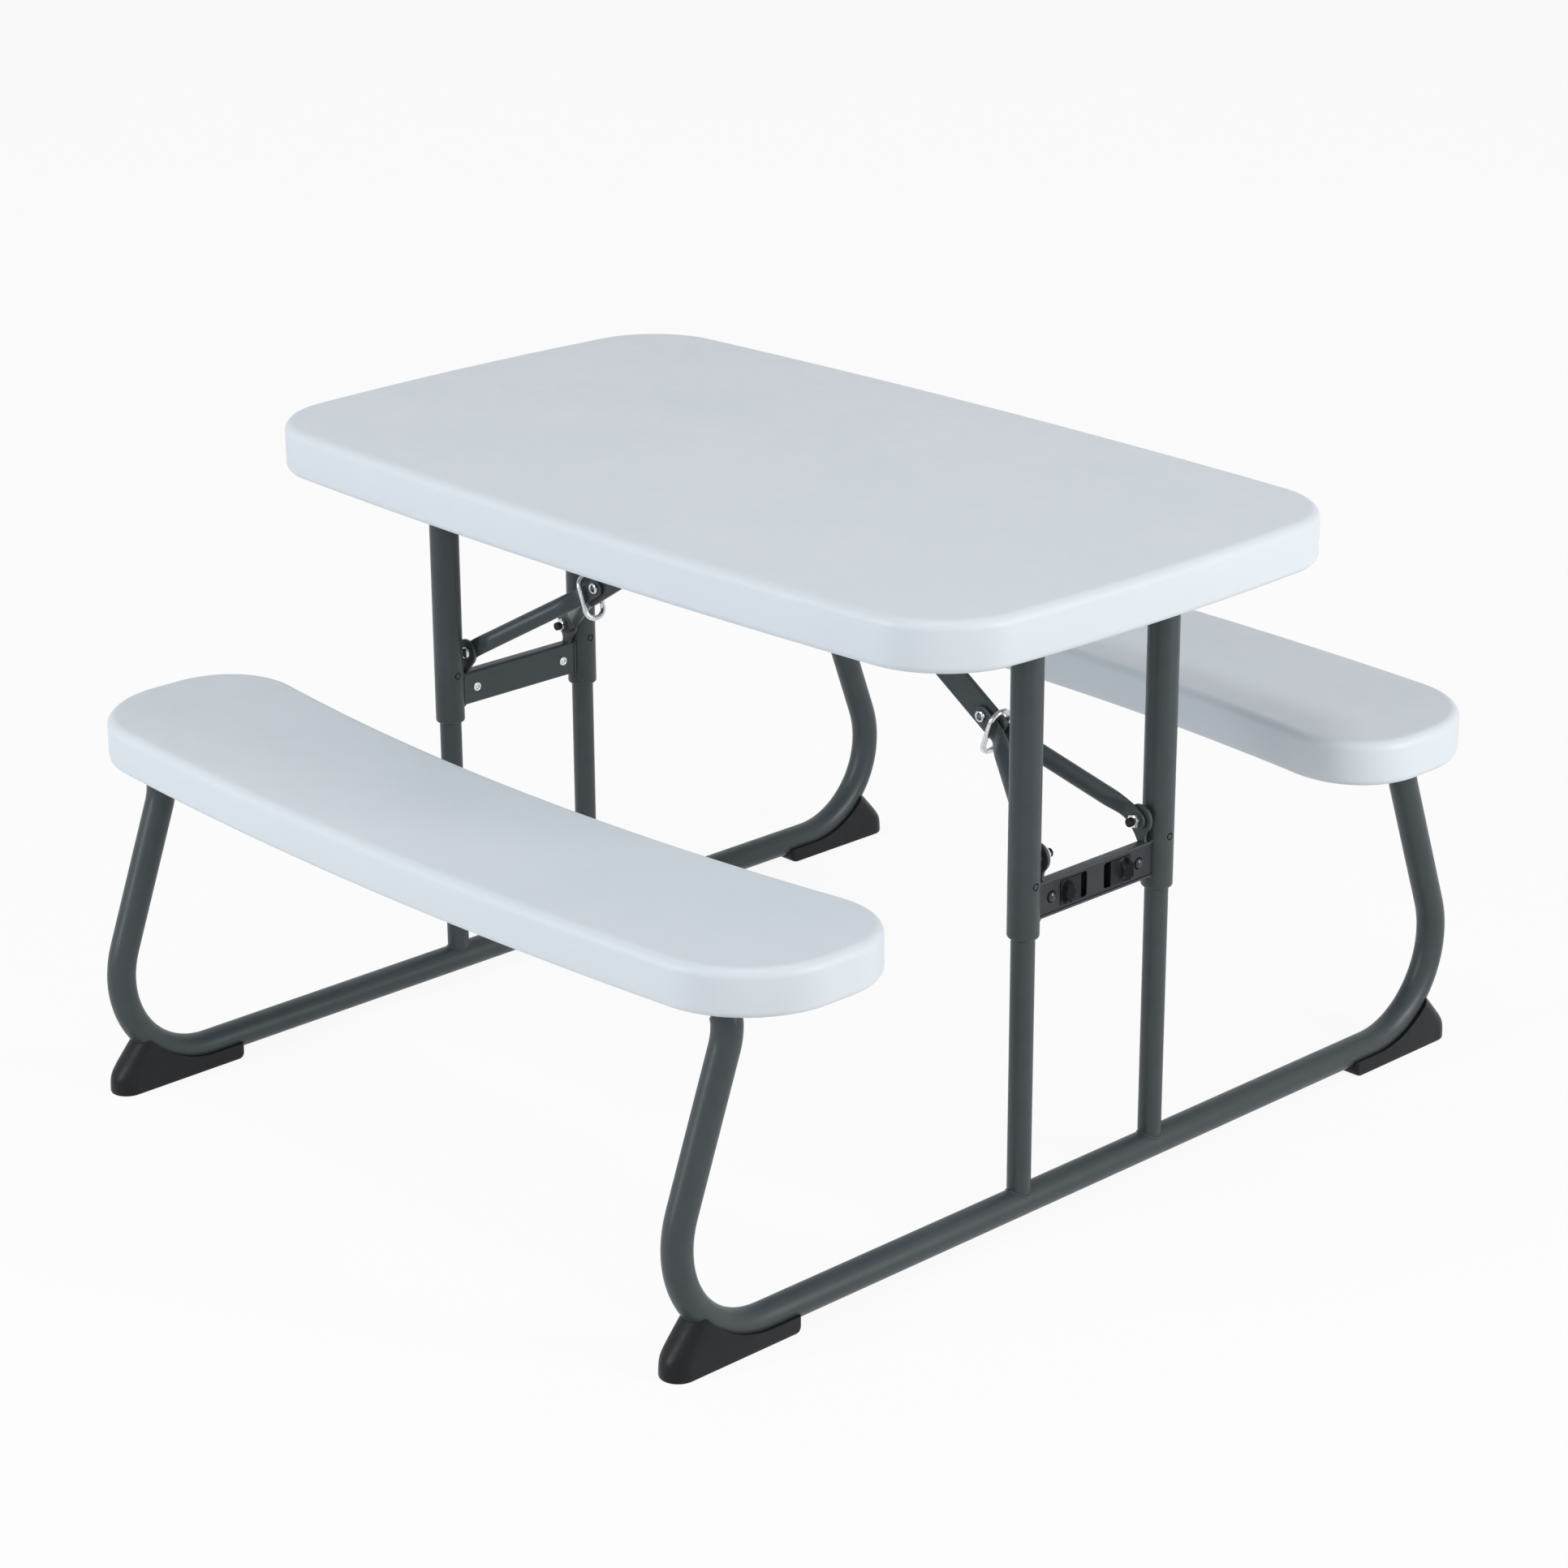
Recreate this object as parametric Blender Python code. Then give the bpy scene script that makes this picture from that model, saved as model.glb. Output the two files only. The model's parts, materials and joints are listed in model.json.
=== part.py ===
"""Folding picnic table for children: white moulded top and benches on a grey steel tube frame."""
import math

import bmesh
import bpy
from mathutils import Vector

for leftover in list(bpy.data.objects):
    bpy.data.objects.remove(leftover, do_unlink=True)

# Tabletop
TABLE_LENGTH = 0.829
TABLE_WIDTH = 0.484
TABLE_HEIGHT = 0.533
TABLE_RIM = 0.0405
TABLE_PANEL = 0.024
TABLE_CORNER = 0.066
TABLE_END_BOW = 0.0116
TABLE_SIDE_BOW = 0.0147

# Benches
BENCH_END_SETBACK = 0.005
BENCH_WIDTH = 0.1795
BENCH_HEIGHT = 0.3217
BENCH_RIM = 0.0378
BENCH_PANEL = 0.018
BENCH_CORNER = 0.0776
BENCH_INNER_BOW = 0.0368
BENCH_OUTER_BOW = 0.0229

# Moulded rims, both tabletop and benches
RIM_WIDTH = 0.018
TOP_ROUNDING = 0.007
BOTTOM_ROUNDING = 0.004
RIM_DRAFT = 0.004

# Legs and their telescoping sleeves
LEG_INSET = 0.070
LEG_SPACING = 0.153
LEG_RADIUS = 0.0127
LEG_WALL = 0.0028
SLIDE_GAP = 0.0004
LEG_OVERLAP = 0.034
STOP_GAP = 0.001
SLEEVE_CAP = 0.003

# Leg hinge under the tabletop
HINGE_DROP = 0.045
HINGE_RADIUS = 0.0095
HINGE_SADDLE_CLEAR = 0.0078
HINGE_SADDLE_WIDTH = 0.018
HINGE_SADDLE_WALL = 0.004

# Base tube and feet
TUBE_RADIUS = 0.0120
FOOT_LIFT = 0.0047
TUBE_BEND = 0.082
TUBE_LEAN = 0.367
TAB_BEND = 0.014
TURN_BEND = 0.050
TAB_FLAT_SHARE = 0.84
TAB_TURN_DROP = 0.024
TAB_THICKNESS = 0.006
TAB_WIDTH = 0.025
TAB_TIP_WIDTH = 0.020
TAB_END = 0.010
FOOT_LENGTH = 0.126
FOOT_WIDTH = 0.030
FOOT_RISE = 0.056
FOOT_SLOPE = 0.0368
FOOT_TOE = 0.020
FOOT_TOE_RISE = 0.0154
FOOT_HUG = 0.0035

# Bench pivots
PIVOT_SETBACK = 0.142
PIVOT_BOLT_RADIUS = 0.004
PIVOT_HEAD_RADIUS = 0.0068
PIVOT_HEAD_RIM = 0.006
PIVOT_HEAD_HEIGHT = 0.004
PIVOT_NUT_HEIGHT = 0.005
BRACKET_LENGTH = 0.020
BRACKET_CLEAR = 0.0015
BRACKET_THICKNESS = 0.003
BRACKET_BELOW = 0.008

# Crossbar between the legs of one end, with the pinch latch on it
CROSSBAR_RISE = 0.0115
CROSSBAR_HEIGHT = 0.030
CROSSBAR_HALF_DEPTH = 0.0052
SHEET = 0.002
EAR_THICKNESS = 0.003
EAR_RADIUS = 0.012
EAR_FLARE = 30
HOUSING_RECESS = 0.001
HOUSING_THICKNESS = 0.0014
GRIP_CENTRE = 0.0285
GRIP_WIDTH = 0.023
GRIP_HEIGHT = 0.0205
GRIP_PROUD = 0.0065
GRIP_TRAVEL = 0.007
ROD_RADIUS = 0.0024

# Folding brace
BRACE_PIN_RISE = 0.018
BRACE_PIN_SETBACK = 0.003
BRACE_ANCHOR_X = 0.047
BRACE_ANCHOR_DROP = 0.017
BRACE_PIN_RADIUS = 0.003
BOLT_HEAD = 0.0034
BOLT_HEAD_RADIUS = 0.0054
BOLT_HEAD_RIM = 0.0048
NUT_HEIGHT = 0.0045
NUT_RADIUS = 0.0057
BOLT_END = 0.0035
BOLT_TIP_RADIUS = 0.0024
ANCHOR_LENGTH = 0.024
ANCHOR_BELOW = 0.0096
LINK_HALF_HEIGHT = 0.012
LINK_HALF_THICKNESS = 0.002
LINK_OVERRUN = 0.021
LINK_CORNER = 0.005
ARM_RADIUS = 0.0078
ARM_PLATE_THICKNESS = 0.0034
ARM_KNEE_HALF_HEIGHT = 0.0078
ARM_EYE_HALF_HEIGHT = 0.0078
ARM_TIP_HALF_HEIGHT = 0.005
ARM_TIP_LENGTH = 0.004
ARM_PLATE_LENGTH = 0.018
ARM_EYE_LENGTH = 0.012
ARM_SHOULDER = 0.020
RIVET_RADIUS = 0.0048
RIVET_CROWN_RADIUS = 0.003
RIVET_SHANK_RADIUS = 0.0025
RIVET_HEAD = 0.0024
RING_OFFSET = 0.014
RING_WIRE_RADIUS = 0.002
RING_HALF_WIDTH = 0.011
RING_HEIGHT = 0.040
RING_LEAN = 7
RING_CORNER = 0.0095

# Clearance between pieces that are fixed or turn on one another
FIT_GAP = 0.0003

# Facets round each kind of curve, and the angle past which an edge stays sharp
TUBE_SIDES = 16
HOLE_SIDES = 16
HINGE_SIDES = 20
SMALL_SIDES = 12
BOLT_SIDES = 8
WIRE_SIDES = 6
CORNER_STEPS = 6
FOOT_STEPS = 8
SHARP_ANGLE = 40

# Powers of the ring shapes: 2 is an ellipse, more is squarer
ROUND = 2
PRESSED = 4

# Places that follow from the sizes above
LEG_X = TABLE_LENGTH / 2 - LEG_INSET
LEG_Y = LEG_SPACING / 2
LEG_BORE = LEG_RADIUS - LEG_WALL
INNER_LEG_RADIUS = LEG_BORE - SLIDE_GAP
HINGE_X = LEG_X - LEG_RADIUS - HINGE_RADIUS - FIT_GAP
HINGE_Z = TABLE_HEIGHT - HINGE_DROP
HINGE_REACH = LEG_Y + LEG_RADIUS + HINGE_SADDLE_CLEAR + HINGE_SADDLE_WIDTH
TABLE_UNDERSIDE = TABLE_HEIGHT - TABLE_PANEL
BENCH_UNDERSIDE = BENCH_HEIGHT - BENCH_PANEL
BENCH_LENGTH = TABLE_LENGTH - BENCH_END_SETBACK * 2
BENCH_INNER = TABLE_WIDTH / 2
DROP = TABLE_HEIGHT - BENCH_HEIGHT
PIVOT_Y = BENCH_INNER + PIVOT_SETBACK
PIVOT_Z = HINGE_Z - DROP
BRACKET_INSIDE = TAB_THICKNESS / 2 + BRACKET_CLEAR
RUN_Z = FOOT_LIFT + TUBE_RADIUS
TUBE_CORNER_Y = PIVOT_Y + (PIVOT_Z - TAB_TURN_DROP - RUN_Z) * TUBE_LEAN
SLEEVE_BOTTOM = RUN_Z + TUBE_RADIUS + DROP + STOP_GAP
SLEEVE_TOP = HINGE_Z + HINGE_RADIUS
CROSSBAR_BOTTOM = SLEEVE_BOTTOM + CROSSBAR_RISE
CROSSBAR_MIDDLE = CROSSBAR_BOTTOM + CROSSBAR_HEIGHT / 2
CROSSBAR_TOP = CROSSBAR_BOTTOM + CROSSBAR_HEIGHT
CROSSBAR_END = LEG_Y - LEG_RADIUS - FIT_GAP
CROSSBAR_LIP = LEG_X + CROSSBAR_HALF_DEPTH
HOUSING_FACE = CROSSBAR_LIP - HOUSING_RECESS
HOUSING_HALF_HEIGHT = CROSSBAR_HEIGHT / 2 - SHEET - FIT_GAP

# The brace lies straight with the leg upright; with the leg folded its link lies level
BRACE_PIN = Vector((LEG_X - BRACE_PIN_SETBACK, 0, CROSSBAR_TOP + BRACE_PIN_RISE))
BRACE_PIN_FOLDED = Vector((HINGE_X + BRACE_PIN.z - HINGE_Z, 0, HINGE_Z + HINGE_X - BRACE_PIN.x))
BRACE_ANCHOR = Vector((BRACE_ANCHOR_X, 0, TABLE_UNDERSIDE - BRACE_ANCHOR_DROP))
BRACE_SPAN = (BRACE_PIN - BRACE_ANCHOR).length
BRACE_SHIFT = BRACE_ANCHOR - BRACE_PIN_FOLDED
LINK_LENGTH = (BRACE_SPAN ** 2 - BRACE_SHIFT.length_squared) / (2 * (BRACE_SPAN + BRACE_SHIFT.x))
ARM_LENGTH = BRACE_SPAN - LINK_LENGTH
BRACE_DIRECTION = (BRACE_PIN - BRACE_ANCHOR).normalized()
BRACE_NORMAL = Vector((-BRACE_DIRECTION.z, 0, BRACE_DIRECTION.x))
KNEE = BRACE_ANCHOR + BRACE_DIRECTION * LINK_LENGTH
ARM_INNER_Y = LINK_HALF_THICKNESS + FIT_GAP + ARM_PLATE_THICKNESS / 2
EAR_Y = CROSSBAR_END - FIT_GAP - BOLT_HEAD
ARM_OUTER_Y = EAR_Y - EAR_THICKNESS - FIT_GAP - ARM_PLATE_THICKNESS / 2

ENDS = {"front": 1, "rear": -1}
SIDES = {"left": -1, "right": 1}
ALONG_X = Vector((1, 0, 0))
ALONG_Y = Vector((0, 1, 0))
UP = Vector((0, 0, 1))


def make_material(name, colour, roughness, metallic):
    material = bpy.data.materials.new(name)
    material.use_nodes = True
    surface = material.node_tree.nodes["Principled BSDF"]
    surface.inputs["Base Color"].default_value = (*colour, 1)
    surface.inputs["Roughness"].default_value = roughness
    surface.inputs["Metallic"].default_value = metallic
    material.diffuse_color = (*colour, 1)
    return material


WHITE = make_material("white moulded plastic", (0.78, 0.79, 0.80), 0.45, 0.0)
GREY = make_material("grey powder coated steel", (0.060, 0.070, 0.075), 0.42, 0.2)
BLACK = make_material("black plastic", (0.012, 0.012, 0.014), 0.5, 0.0)
CHARCOAL = make_material("charcoal plastic", (0.036, 0.038, 0.044), 0.5, 0.0)
ZINC = make_material("zinc plated steel", (0.55, 0.56, 0.58), 0.3, 1.0)


def build_mesh(name, shape):
    points, faces = shape
    mesh = bpy.data.meshes.new(name)
    mesh.from_pydata([tuple(point) for point in points], [], faces)
    work = bmesh.new()
    work.from_mesh(mesh)
    bmesh.ops.recalc_face_normals(work, faces=work.faces)
    work.to_mesh(mesh)
    work.free()
    return mesh


def add_piece(name, shape, material, origin=(0, 0, 0)):
    points, faces = shape
    origin = Vector(origin)
    mesh = build_mesh(name, ([Vector(point) - origin for point in points], faces))
    mesh.materials.append(material)
    piece = bpy.data.objects.new(name, mesh)
    piece.location = origin
    bpy.context.scene.collection.objects.link(piece)
    mesh.shade_smooth()
    mesh.set_sharp_from_angle(angle=math.radians(SHARP_ANGLE))


def combine(base, tool, operation):
    """Cut one shape from another, or join the two."""
    pair = []
    for shape in (base, tool):
        temporary = bpy.data.objects.new("temporary", build_mesh("temporary", shape))
        bpy.context.scene.collection.objects.link(temporary)
        pair.append(temporary)
    step = pair[0].modifiers.new("step", "BOOLEAN")
    step.operation = operation
    step.solver = "EXACT"
    step.object = pair[1]
    graph = bpy.context.evaluated_depsgraph_get()
    mesh = bpy.data.meshes.new_from_object(pair[0].evaluated_get(graph))
    points = [point.co.copy() for point in mesh.vertices]
    faces = [tuple(face.vertices) for face in mesh.polygons]
    for temporary in pair:
        bpy.data.objects.remove(temporary, do_unlink=True)
    return points, faces


def place(shape, end, side=1):
    """A shape drawn for the front right, moved to the given end and side."""
    points, faces = shape
    return [Vector((point[0] * end, point[1] * side, point[2])) for point in points], faces


def loft(rings, closed=False):
    count = len(rings[0])
    points = [point for ring in rings for point in ring]
    faces = []
    for step in range(len(rings) if closed else len(rings) - 1):
        here = step * count
        there = (step + 1) % len(rings) * count
        for k in range(count):
            after = (k + 1) % count
            faces.append((here + k, here + after, there + after, there + k))
    if not closed:
        faces.append(tuple(range(count)))
        faces.append(tuple(range(len(points) - count, len(points))))
    return points, faces


def section(centre, across, up, half_across, half_up, power, count):
    """A round, oval or squarish ring of points."""
    ring = []
    for k in range(count):
        angle = 2 * math.pi * (k + 0.5) / count
        c = math.copysign(abs(math.cos(angle)) ** (2 / power), math.cos(angle))
        s = math.copysign(abs(math.sin(angle)) ** (2 / power), math.sin(angle))
        ring.append(centre + across * (half_across * c) + up * (half_up * s))
    return ring


def sweep(path, across, halves, count, closed=False):
    """A tube along a path; halves holds (half across, half up, power) for each point."""
    last = len(path) - 1
    rings = []
    for k, point in enumerate(path):
        if closed:
            heading = path[(k + 1) % len(path)] - path[k - 1]
        else:
            heading = path[min(k + 1, last)] - path[max(k - 1, 0)]
        heading.normalize()
        across = (across - heading * across.dot(heading)).normalized()
        rings.append(section(point, across, heading.cross(across), *halves[k], count))
    return loft(rings, closed)


def turned(centre, axis, stations, count):
    """A turned piece: stations are (distance along the axis, radius)."""
    across = axis.orthogonal().normalized()
    up = axis.cross(across)
    return loft([section(centre + axis * d, across, up, r, r, ROUND, count) for d, r in stations])


def prism(outline, start, reach):
    """A flat outline in X and Z, given thickness along Y."""
    return loft([[Vector((x, y, z)) for x, z in outline] for y in (start, start + reach)])


def block(low, high):
    return prism([(low[0], low[2]), (high[0], low[2]), (high[0], high[2]), (low[0], high[2])],
                 low[1], high[1] - low[1])


def arc(centre, radius, start, stop, steps):
    """Points of an arc in a plane, angles in degrees."""
    angles = [math.radians(start + (stop - start) * k / steps) for k in range(steps + 1)]
    return [(centre[0] + radius * math.cos(a), centre[1] + radius * math.sin(a)) for a in angles]


def bent_path(corners, bends, steps):
    """A path through corners, each inner one rounded to its bend radius."""
    path = [corners[0]]
    for before, corner, after, bend in zip(corners, corners[1:], corners[2:], bends):
        back = (before - corner).normalized()
        ahead = (after - corner).normalized()
        half = back.angle(ahead) / 2
        middle = corner + (back + ahead).normalized() * (bend / math.sin(half))
        first = corner + back * (bend / math.tan(half)) - middle
        final = corner + ahead * (bend / math.tan(half)) - middle
        first.normalize()
        final.normalize()
        path += [middle + first.slerp(final, k / steps) * bend for k in range(steps + 1)]
    path.append(corners[-1])
    return path


def rounded_outline(half_length, half_width, corner, steps, along, across):
    """A rounded rectangle, with extra points on its long and short sides."""
    outline = []
    inner_x = half_length - corner
    inner_y = half_width - corner
    quarters = ((1, 1, 0), (-1, 1, 90), (-1, -1, 180), (1, -1, 270))
    for k, (sx, sy, start) in enumerate(quarters):
        outline += arc((sx * inner_x, sy * inner_y), corner, start, start + 90, steps)
        nx, ny, turn = quarters[(k + 1) % 4]
        first = outline[-1]
        final = arc((nx * inner_x, ny * inner_y), corner, turn, turn, 1)[0]
        extra = along if k % 2 == 0 else across
        for n in range(1, extra):
            outline.append(tuple(Vector(first).lerp(Vector(final), n / extra)))
    return outline


def inset(outline, amount):
    """An outline moved inwards along its normals."""
    count = len(outline)
    moved = []
    for k, (x, y) in enumerate(outline):
        dx = outline[(k + 1) % count][0] - outline[k - 1][0]
        dy = outline[(k + 1) % count][1] - outline[k - 1][1]
        size = math.hypot(dx, dy)
        moved.append((x - dy / size * amount, y + dx / size * amount))
    return moved


def moulded_slab(outline, top, rim, panel):
    """A moulded top: rounded edge, a rim all round and a recessed underside."""
    bottom = top - rim
    levels = []
    levels += arc((TOP_ROUNDING, top - TOP_ROUNDING), TOP_ROUNDING, 90, 180, 3)
    levels += arc((BOTTOM_ROUNDING, bottom + BOTTOM_ROUNDING), BOTTOM_ROUNDING, 180, 270, 2)
    levels.append((RIM_WIDTH, bottom))
    levels.append((RIM_WIDTH + RIM_DRAFT, top - panel))
    return loft([[Vector((x, y, z)) for x, y in inset(outline, amount)] for amount, z in levels])


def tabletop_outline():
    half_length = TABLE_LENGTH / 2 - TABLE_END_BOW
    half_width = TABLE_WIDTH / 2 - TABLE_SIDE_BOW
    outline = []
    for x, y in rounded_outline(half_length, half_width, TABLE_CORNER, CORNER_STEPS, 8, 4):
        grow_x = TABLE_END_BOW * (1 - (y / half_width) ** 2) / half_length
        grow_y = TABLE_SIDE_BOW * (1 - (x / half_length) ** 2) / half_width
        outline.append((x * (1 + grow_x), y * (1 + grow_y)))
    return outline


def bench_outline():
    half_length = BENCH_LENGTH / 2
    outline = []
    for x, y in rounded_outline(half_length, BENCH_WIDTH / 2, BENCH_CORNER, CORNER_STEPS, 10, 1):
        bow = 1 - (x / half_length) ** 2
        inner = BENCH_INNER + BENCH_INNER_BOW * bow
        outer = BENCH_INNER + BENCH_WIDTH + BENCH_OUTER_BOW * bow
        outline.append((x, inner + (outer - inner) * (y / BENCH_WIDTH + 0.5)))
    return outline


def tube_path():
    """The base tube of one end, from the right pivot tab down, across the floor and up to the left."""
    tip = Vector((HINGE_X, PIVOT_Y, PIVOT_Z))
    elbow = Vector((LEG_X, PIVOT_Y, PIVOT_Z))
    turn = Vector((LEG_X, PIVOT_Y, PIVOT_Z - TAB_TURN_DROP))
    corner = Vector((LEG_X, TUBE_CORNER_Y, RUN_Z))
    half = bent_path([tip, elbow, turn, corner, Vector((LEG_X, 0, RUN_Z))],
                     (TAB_BEND, TURN_BEND, TUBE_BEND), CORNER_STEPS)[:-1]
    half[0:0] = [tip - ALONG_X * TAB_END, tip - ALONG_X * (TAB_END / 2)]
    return half, [Vector((p.x, -p.y, p.z)) for p in reversed(half)]


def tube_shape(grow=0.0):
    right, left = tube_path()
    tip = (TAB_TIP_WIDTH / 2, TAB_THICKNESS / 2, PRESSED)
    flat = (TAB_WIDTH / 2, TAB_THICKNESS / 2, PRESSED)
    round_half = (TUBE_RADIUS + grow, TUBE_RADIUS + grow, ROUND)
    halves = [tip, flat, flat]
    for k in range(CORNER_STEPS + 1):
        share = max(k / CORNER_STEPS - TAB_FLAT_SHARE, 0) / (1 - TAB_FLAT_SHARE)
        halves.append(tuple(a + (b - a) * share for a, b in zip(flat, round_half)))
    halves += [round_half] * (len(right) - len(halves))
    return sweep(right + left, UP, halves + halves[::-1], SMALL_SIDES)


def rod_along_y(centre, radius, start, stop, count=HOLE_SIDES):
    """A round bar or hole along Y; its place along Y is from start to stop."""
    return turned(Vector((centre[0], 0, centre[2])), ALONG_Y, [(start, radius), (stop, radius)], count)


def upper_leg():
    centre = Vector((LEG_X, LEG_Y, 0))
    leg = turned(centre, UP, [(SLEEVE_BOTTOM, LEG_RADIUS), (SLEEVE_TOP, LEG_RADIUS)], TUBE_SIDES)
    bore = turned(centre, UP, [(0, LEG_BORE), (SLEEVE_TOP - SLEEVE_CAP, LEG_BORE)], TUBE_SIDES)
    leg = combine(leg, bore, "DIFFERENCE")
    rod_hole = rod_along_y((LEG_X, 0, CROSSBAR_MIDDLE), ROD_RADIUS + FIT_GAP, 0, LEG_Y)
    return combine(leg, rod_hole, "DIFFERENCE")


def lower_leg():
    centre = Vector((LEG_X, LEG_Y, 0))
    stations = [(RUN_Z, INNER_LEG_RADIUS), (SLEEVE_BOTTOM + LEG_OVERLAP, INNER_LEG_RADIUS)]
    leg = turned(centre, UP, stations, TUBE_SIDES)
    run = rod_along_y((LEG_X, 0, RUN_Z), TUBE_RADIUS + FIT_GAP, 0, LEG_Y * 2)
    return combine(leg, run, "DIFFERENCE")


def crossbar():
    """A channel that opens outwards, with an upright ear near each leg."""
    back = LEG_X - CROSSBAR_HALF_DEPTH
    web = back + SHEET
    low = CROSSBAR_BOTTOM
    high = CROSSBAR_TOP
    channel = [(back, low), (CROSSBAR_LIP, low), (CROSSBAR_LIP, low + SHEET), (web, low + SHEET),
               (web, high - SHEET), (CROSSBAR_LIP, high - SHEET), (CROSSBAR_LIP, high), (back, high)]
    bar = prism(channel, -CROSSBAR_END, CROSSBAR_END * 2)
    ear = [(back, high - SHEET), (CROSSBAR_LIP, high - SHEET), (CROSSBAR_LIP, high)]
    ear += arc((BRACE_PIN.x, BRACE_PIN.z), EAR_RADIUS, -EAR_FLARE, 180 + EAR_FLARE, 10)
    plate = prism(ear, EAR_Y - EAR_THICKNESS, EAR_THICKNESS)
    pin_hole = rod_along_y(BRACE_PIN, BRACE_PIN_RADIUS + FIT_GAP, 0, LEG_Y)
    for side in SIDES.values():
        bar = combine(bar, place(plate, 1, side), "UNION")
        bar = combine(bar, place(pin_hole, 1, side), "DIFFERENCE")
    return bar


def grip_window():
    """The space that a finger grip needs in the housing, at rest and pinched."""
    reach = GRIP_HEIGHT / 2 + FIT_GAP
    outer = GRIP_CENTRE + GRIP_WIDTH / 2 + FIT_GAP
    inner = GRIP_CENTRE - GRIP_WIDTH / 2 - GRIP_TRAVEL - FIT_GAP
    return block((LEG_X, inner, CROSSBAR_MIDDLE - reach), (CROSSBAR_LIP, outer, CROSSBAR_MIDDLE + reach))


def latch_housing():
    """A plate that closes the crossbar's open side and guides the grips."""
    low = Vector((HOUSING_FACE - HOUSING_THICKNESS, -CROSSBAR_END, CROSSBAR_MIDDLE - HOUSING_HALF_HEIGHT))
    plate = block(low, (HOUSING_FACE, CROSSBAR_END, CROSSBAR_MIDDLE + HOUSING_HALF_HEIGHT))
    for side in SIDES.values():
        plate = combine(plate, place(grip_window(), 1, side), "DIFFERENCE")
    return plate


def latch_grip():
    """A finger grip with the rod that it draws out of the leg."""
    front = HOUSING_FACE + GRIP_PROUD
    knob = block((LEG_X - ROD_RADIUS, GRIP_CENTRE - GRIP_WIDTH / 2, CROSSBAR_MIDDLE - GRIP_HEIGHT / 2),
                 (front, GRIP_CENTRE + GRIP_WIDTH / 2, CROSSBAR_MIDDLE + GRIP_HEIGHT / 2))
    tip = LEG_Y - LEG_BORE - FIT_GAP
    rod = rod_along_y((LEG_X, 0, CROSSBAR_MIDDLE), ROD_RADIUS, GRIP_CENTRE, tip, SMALL_SIDES)
    return combine(knob, rod, "UNION")


def hinge_saddle():
    wall = HINGE_RADIUS + HINGE_SADDLE_WALL
    top = TABLE_UNDERSIDE - FIT_GAP
    outline = [(HINGE_X + wall, top), (HINGE_X - wall, top)]
    outline += arc((HINGE_X, HINGE_Z), wall, 180, 360, 8)
    saddle = prism(outline, HINGE_REACH - HINGE_SADDLE_WIDTH, HINGE_SADDLE_WIDTH)
    bore = rod_along_y((HINGE_X, 0, HINGE_Z), HINGE_RADIUS + FIT_GAP, 0, HINGE_REACH * 2, HINGE_SIDES)
    return combine(saddle, bore, "DIFFERENCE")


def fork(middle, half_length, inside, bottom, top):
    """A bracket open below, with a plate on each side of what turns in it."""
    outside = inside + BRACKET_THICKNESS
    solid = block((middle.x - half_length, middle.y - outside, bottom),
                  (middle.x + half_length, middle.y + outside, top))
    gap = block((middle.x - half_length * 2, middle.y - inside, bottom - BRACKET_THICKNESS),
                (middle.x + half_length * 2, middle.y + inside, top - BRACKET_THICKNESS))
    return combine(solid, gap, "DIFFERENCE")


def brace_anchor():
    """A forked bracket under the tabletop, with the pin that the link turns on."""
    inside = LINK_HALF_THICKNESS + FIT_GAP
    ends = inside + BRACKET_THICKNESS + RIVET_HEAD
    bracket = fork(BRACE_ANCHOR, ANCHOR_LENGTH / 2, inside, BRACE_ANCHOR.z - ANCHOR_BELOW,
                   TABLE_UNDERSIDE - FIT_GAP)
    pin = rod_along_y(BRACE_ANCHOR, BRACE_PIN_RADIUS, -ends, ends, SMALL_SIDES)
    return combine(bracket, pin, "UNION")


def brace_link():
    """A flat bar with a half-round end at its anchor and two rounded corners past the knee."""
    tilt = math.degrees(math.atan2(BRACE_DIRECTION.z, BRACE_DIRECTION.x))
    outline = arc((BRACE_ANCHOR.x, BRACE_ANCHOR.z), LINK_HALF_HEIGHT, tilt + 90, tilt + 270, 8)
    for way in (-1, 1):
        up = (LINK_HALF_HEIGHT - LINK_CORNER) * way
        corner = KNEE + BRACE_DIRECTION * (LINK_OVERRUN - LINK_CORNER) + BRACE_NORMAL * up
        turn = tilt + 45 * way
        outline += arc((corner.x, corner.z), LINK_CORNER, turn - 45, turn + 45, 4)
    bar = prism(outline, -LINK_HALF_THICKNESS, LINK_HALF_THICKNESS * 2)
    hole = rod_along_y(BRACE_ANCHOR, BRACE_PIN_RADIUS + FIT_GAP, -LINK_HALF_HEIGHT, LINK_HALF_HEIGHT)
    return combine(combine(bar, hole, "DIFFERENCE"), knee_hole(), "DIFFERENCE")


def knee_hole():
    return rod_along_y(KNEE, RIVET_SHANK_RADIUS + FIT_GAP, -LINK_HALF_HEIGHT, LINK_HALF_HEIGHT)


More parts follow.
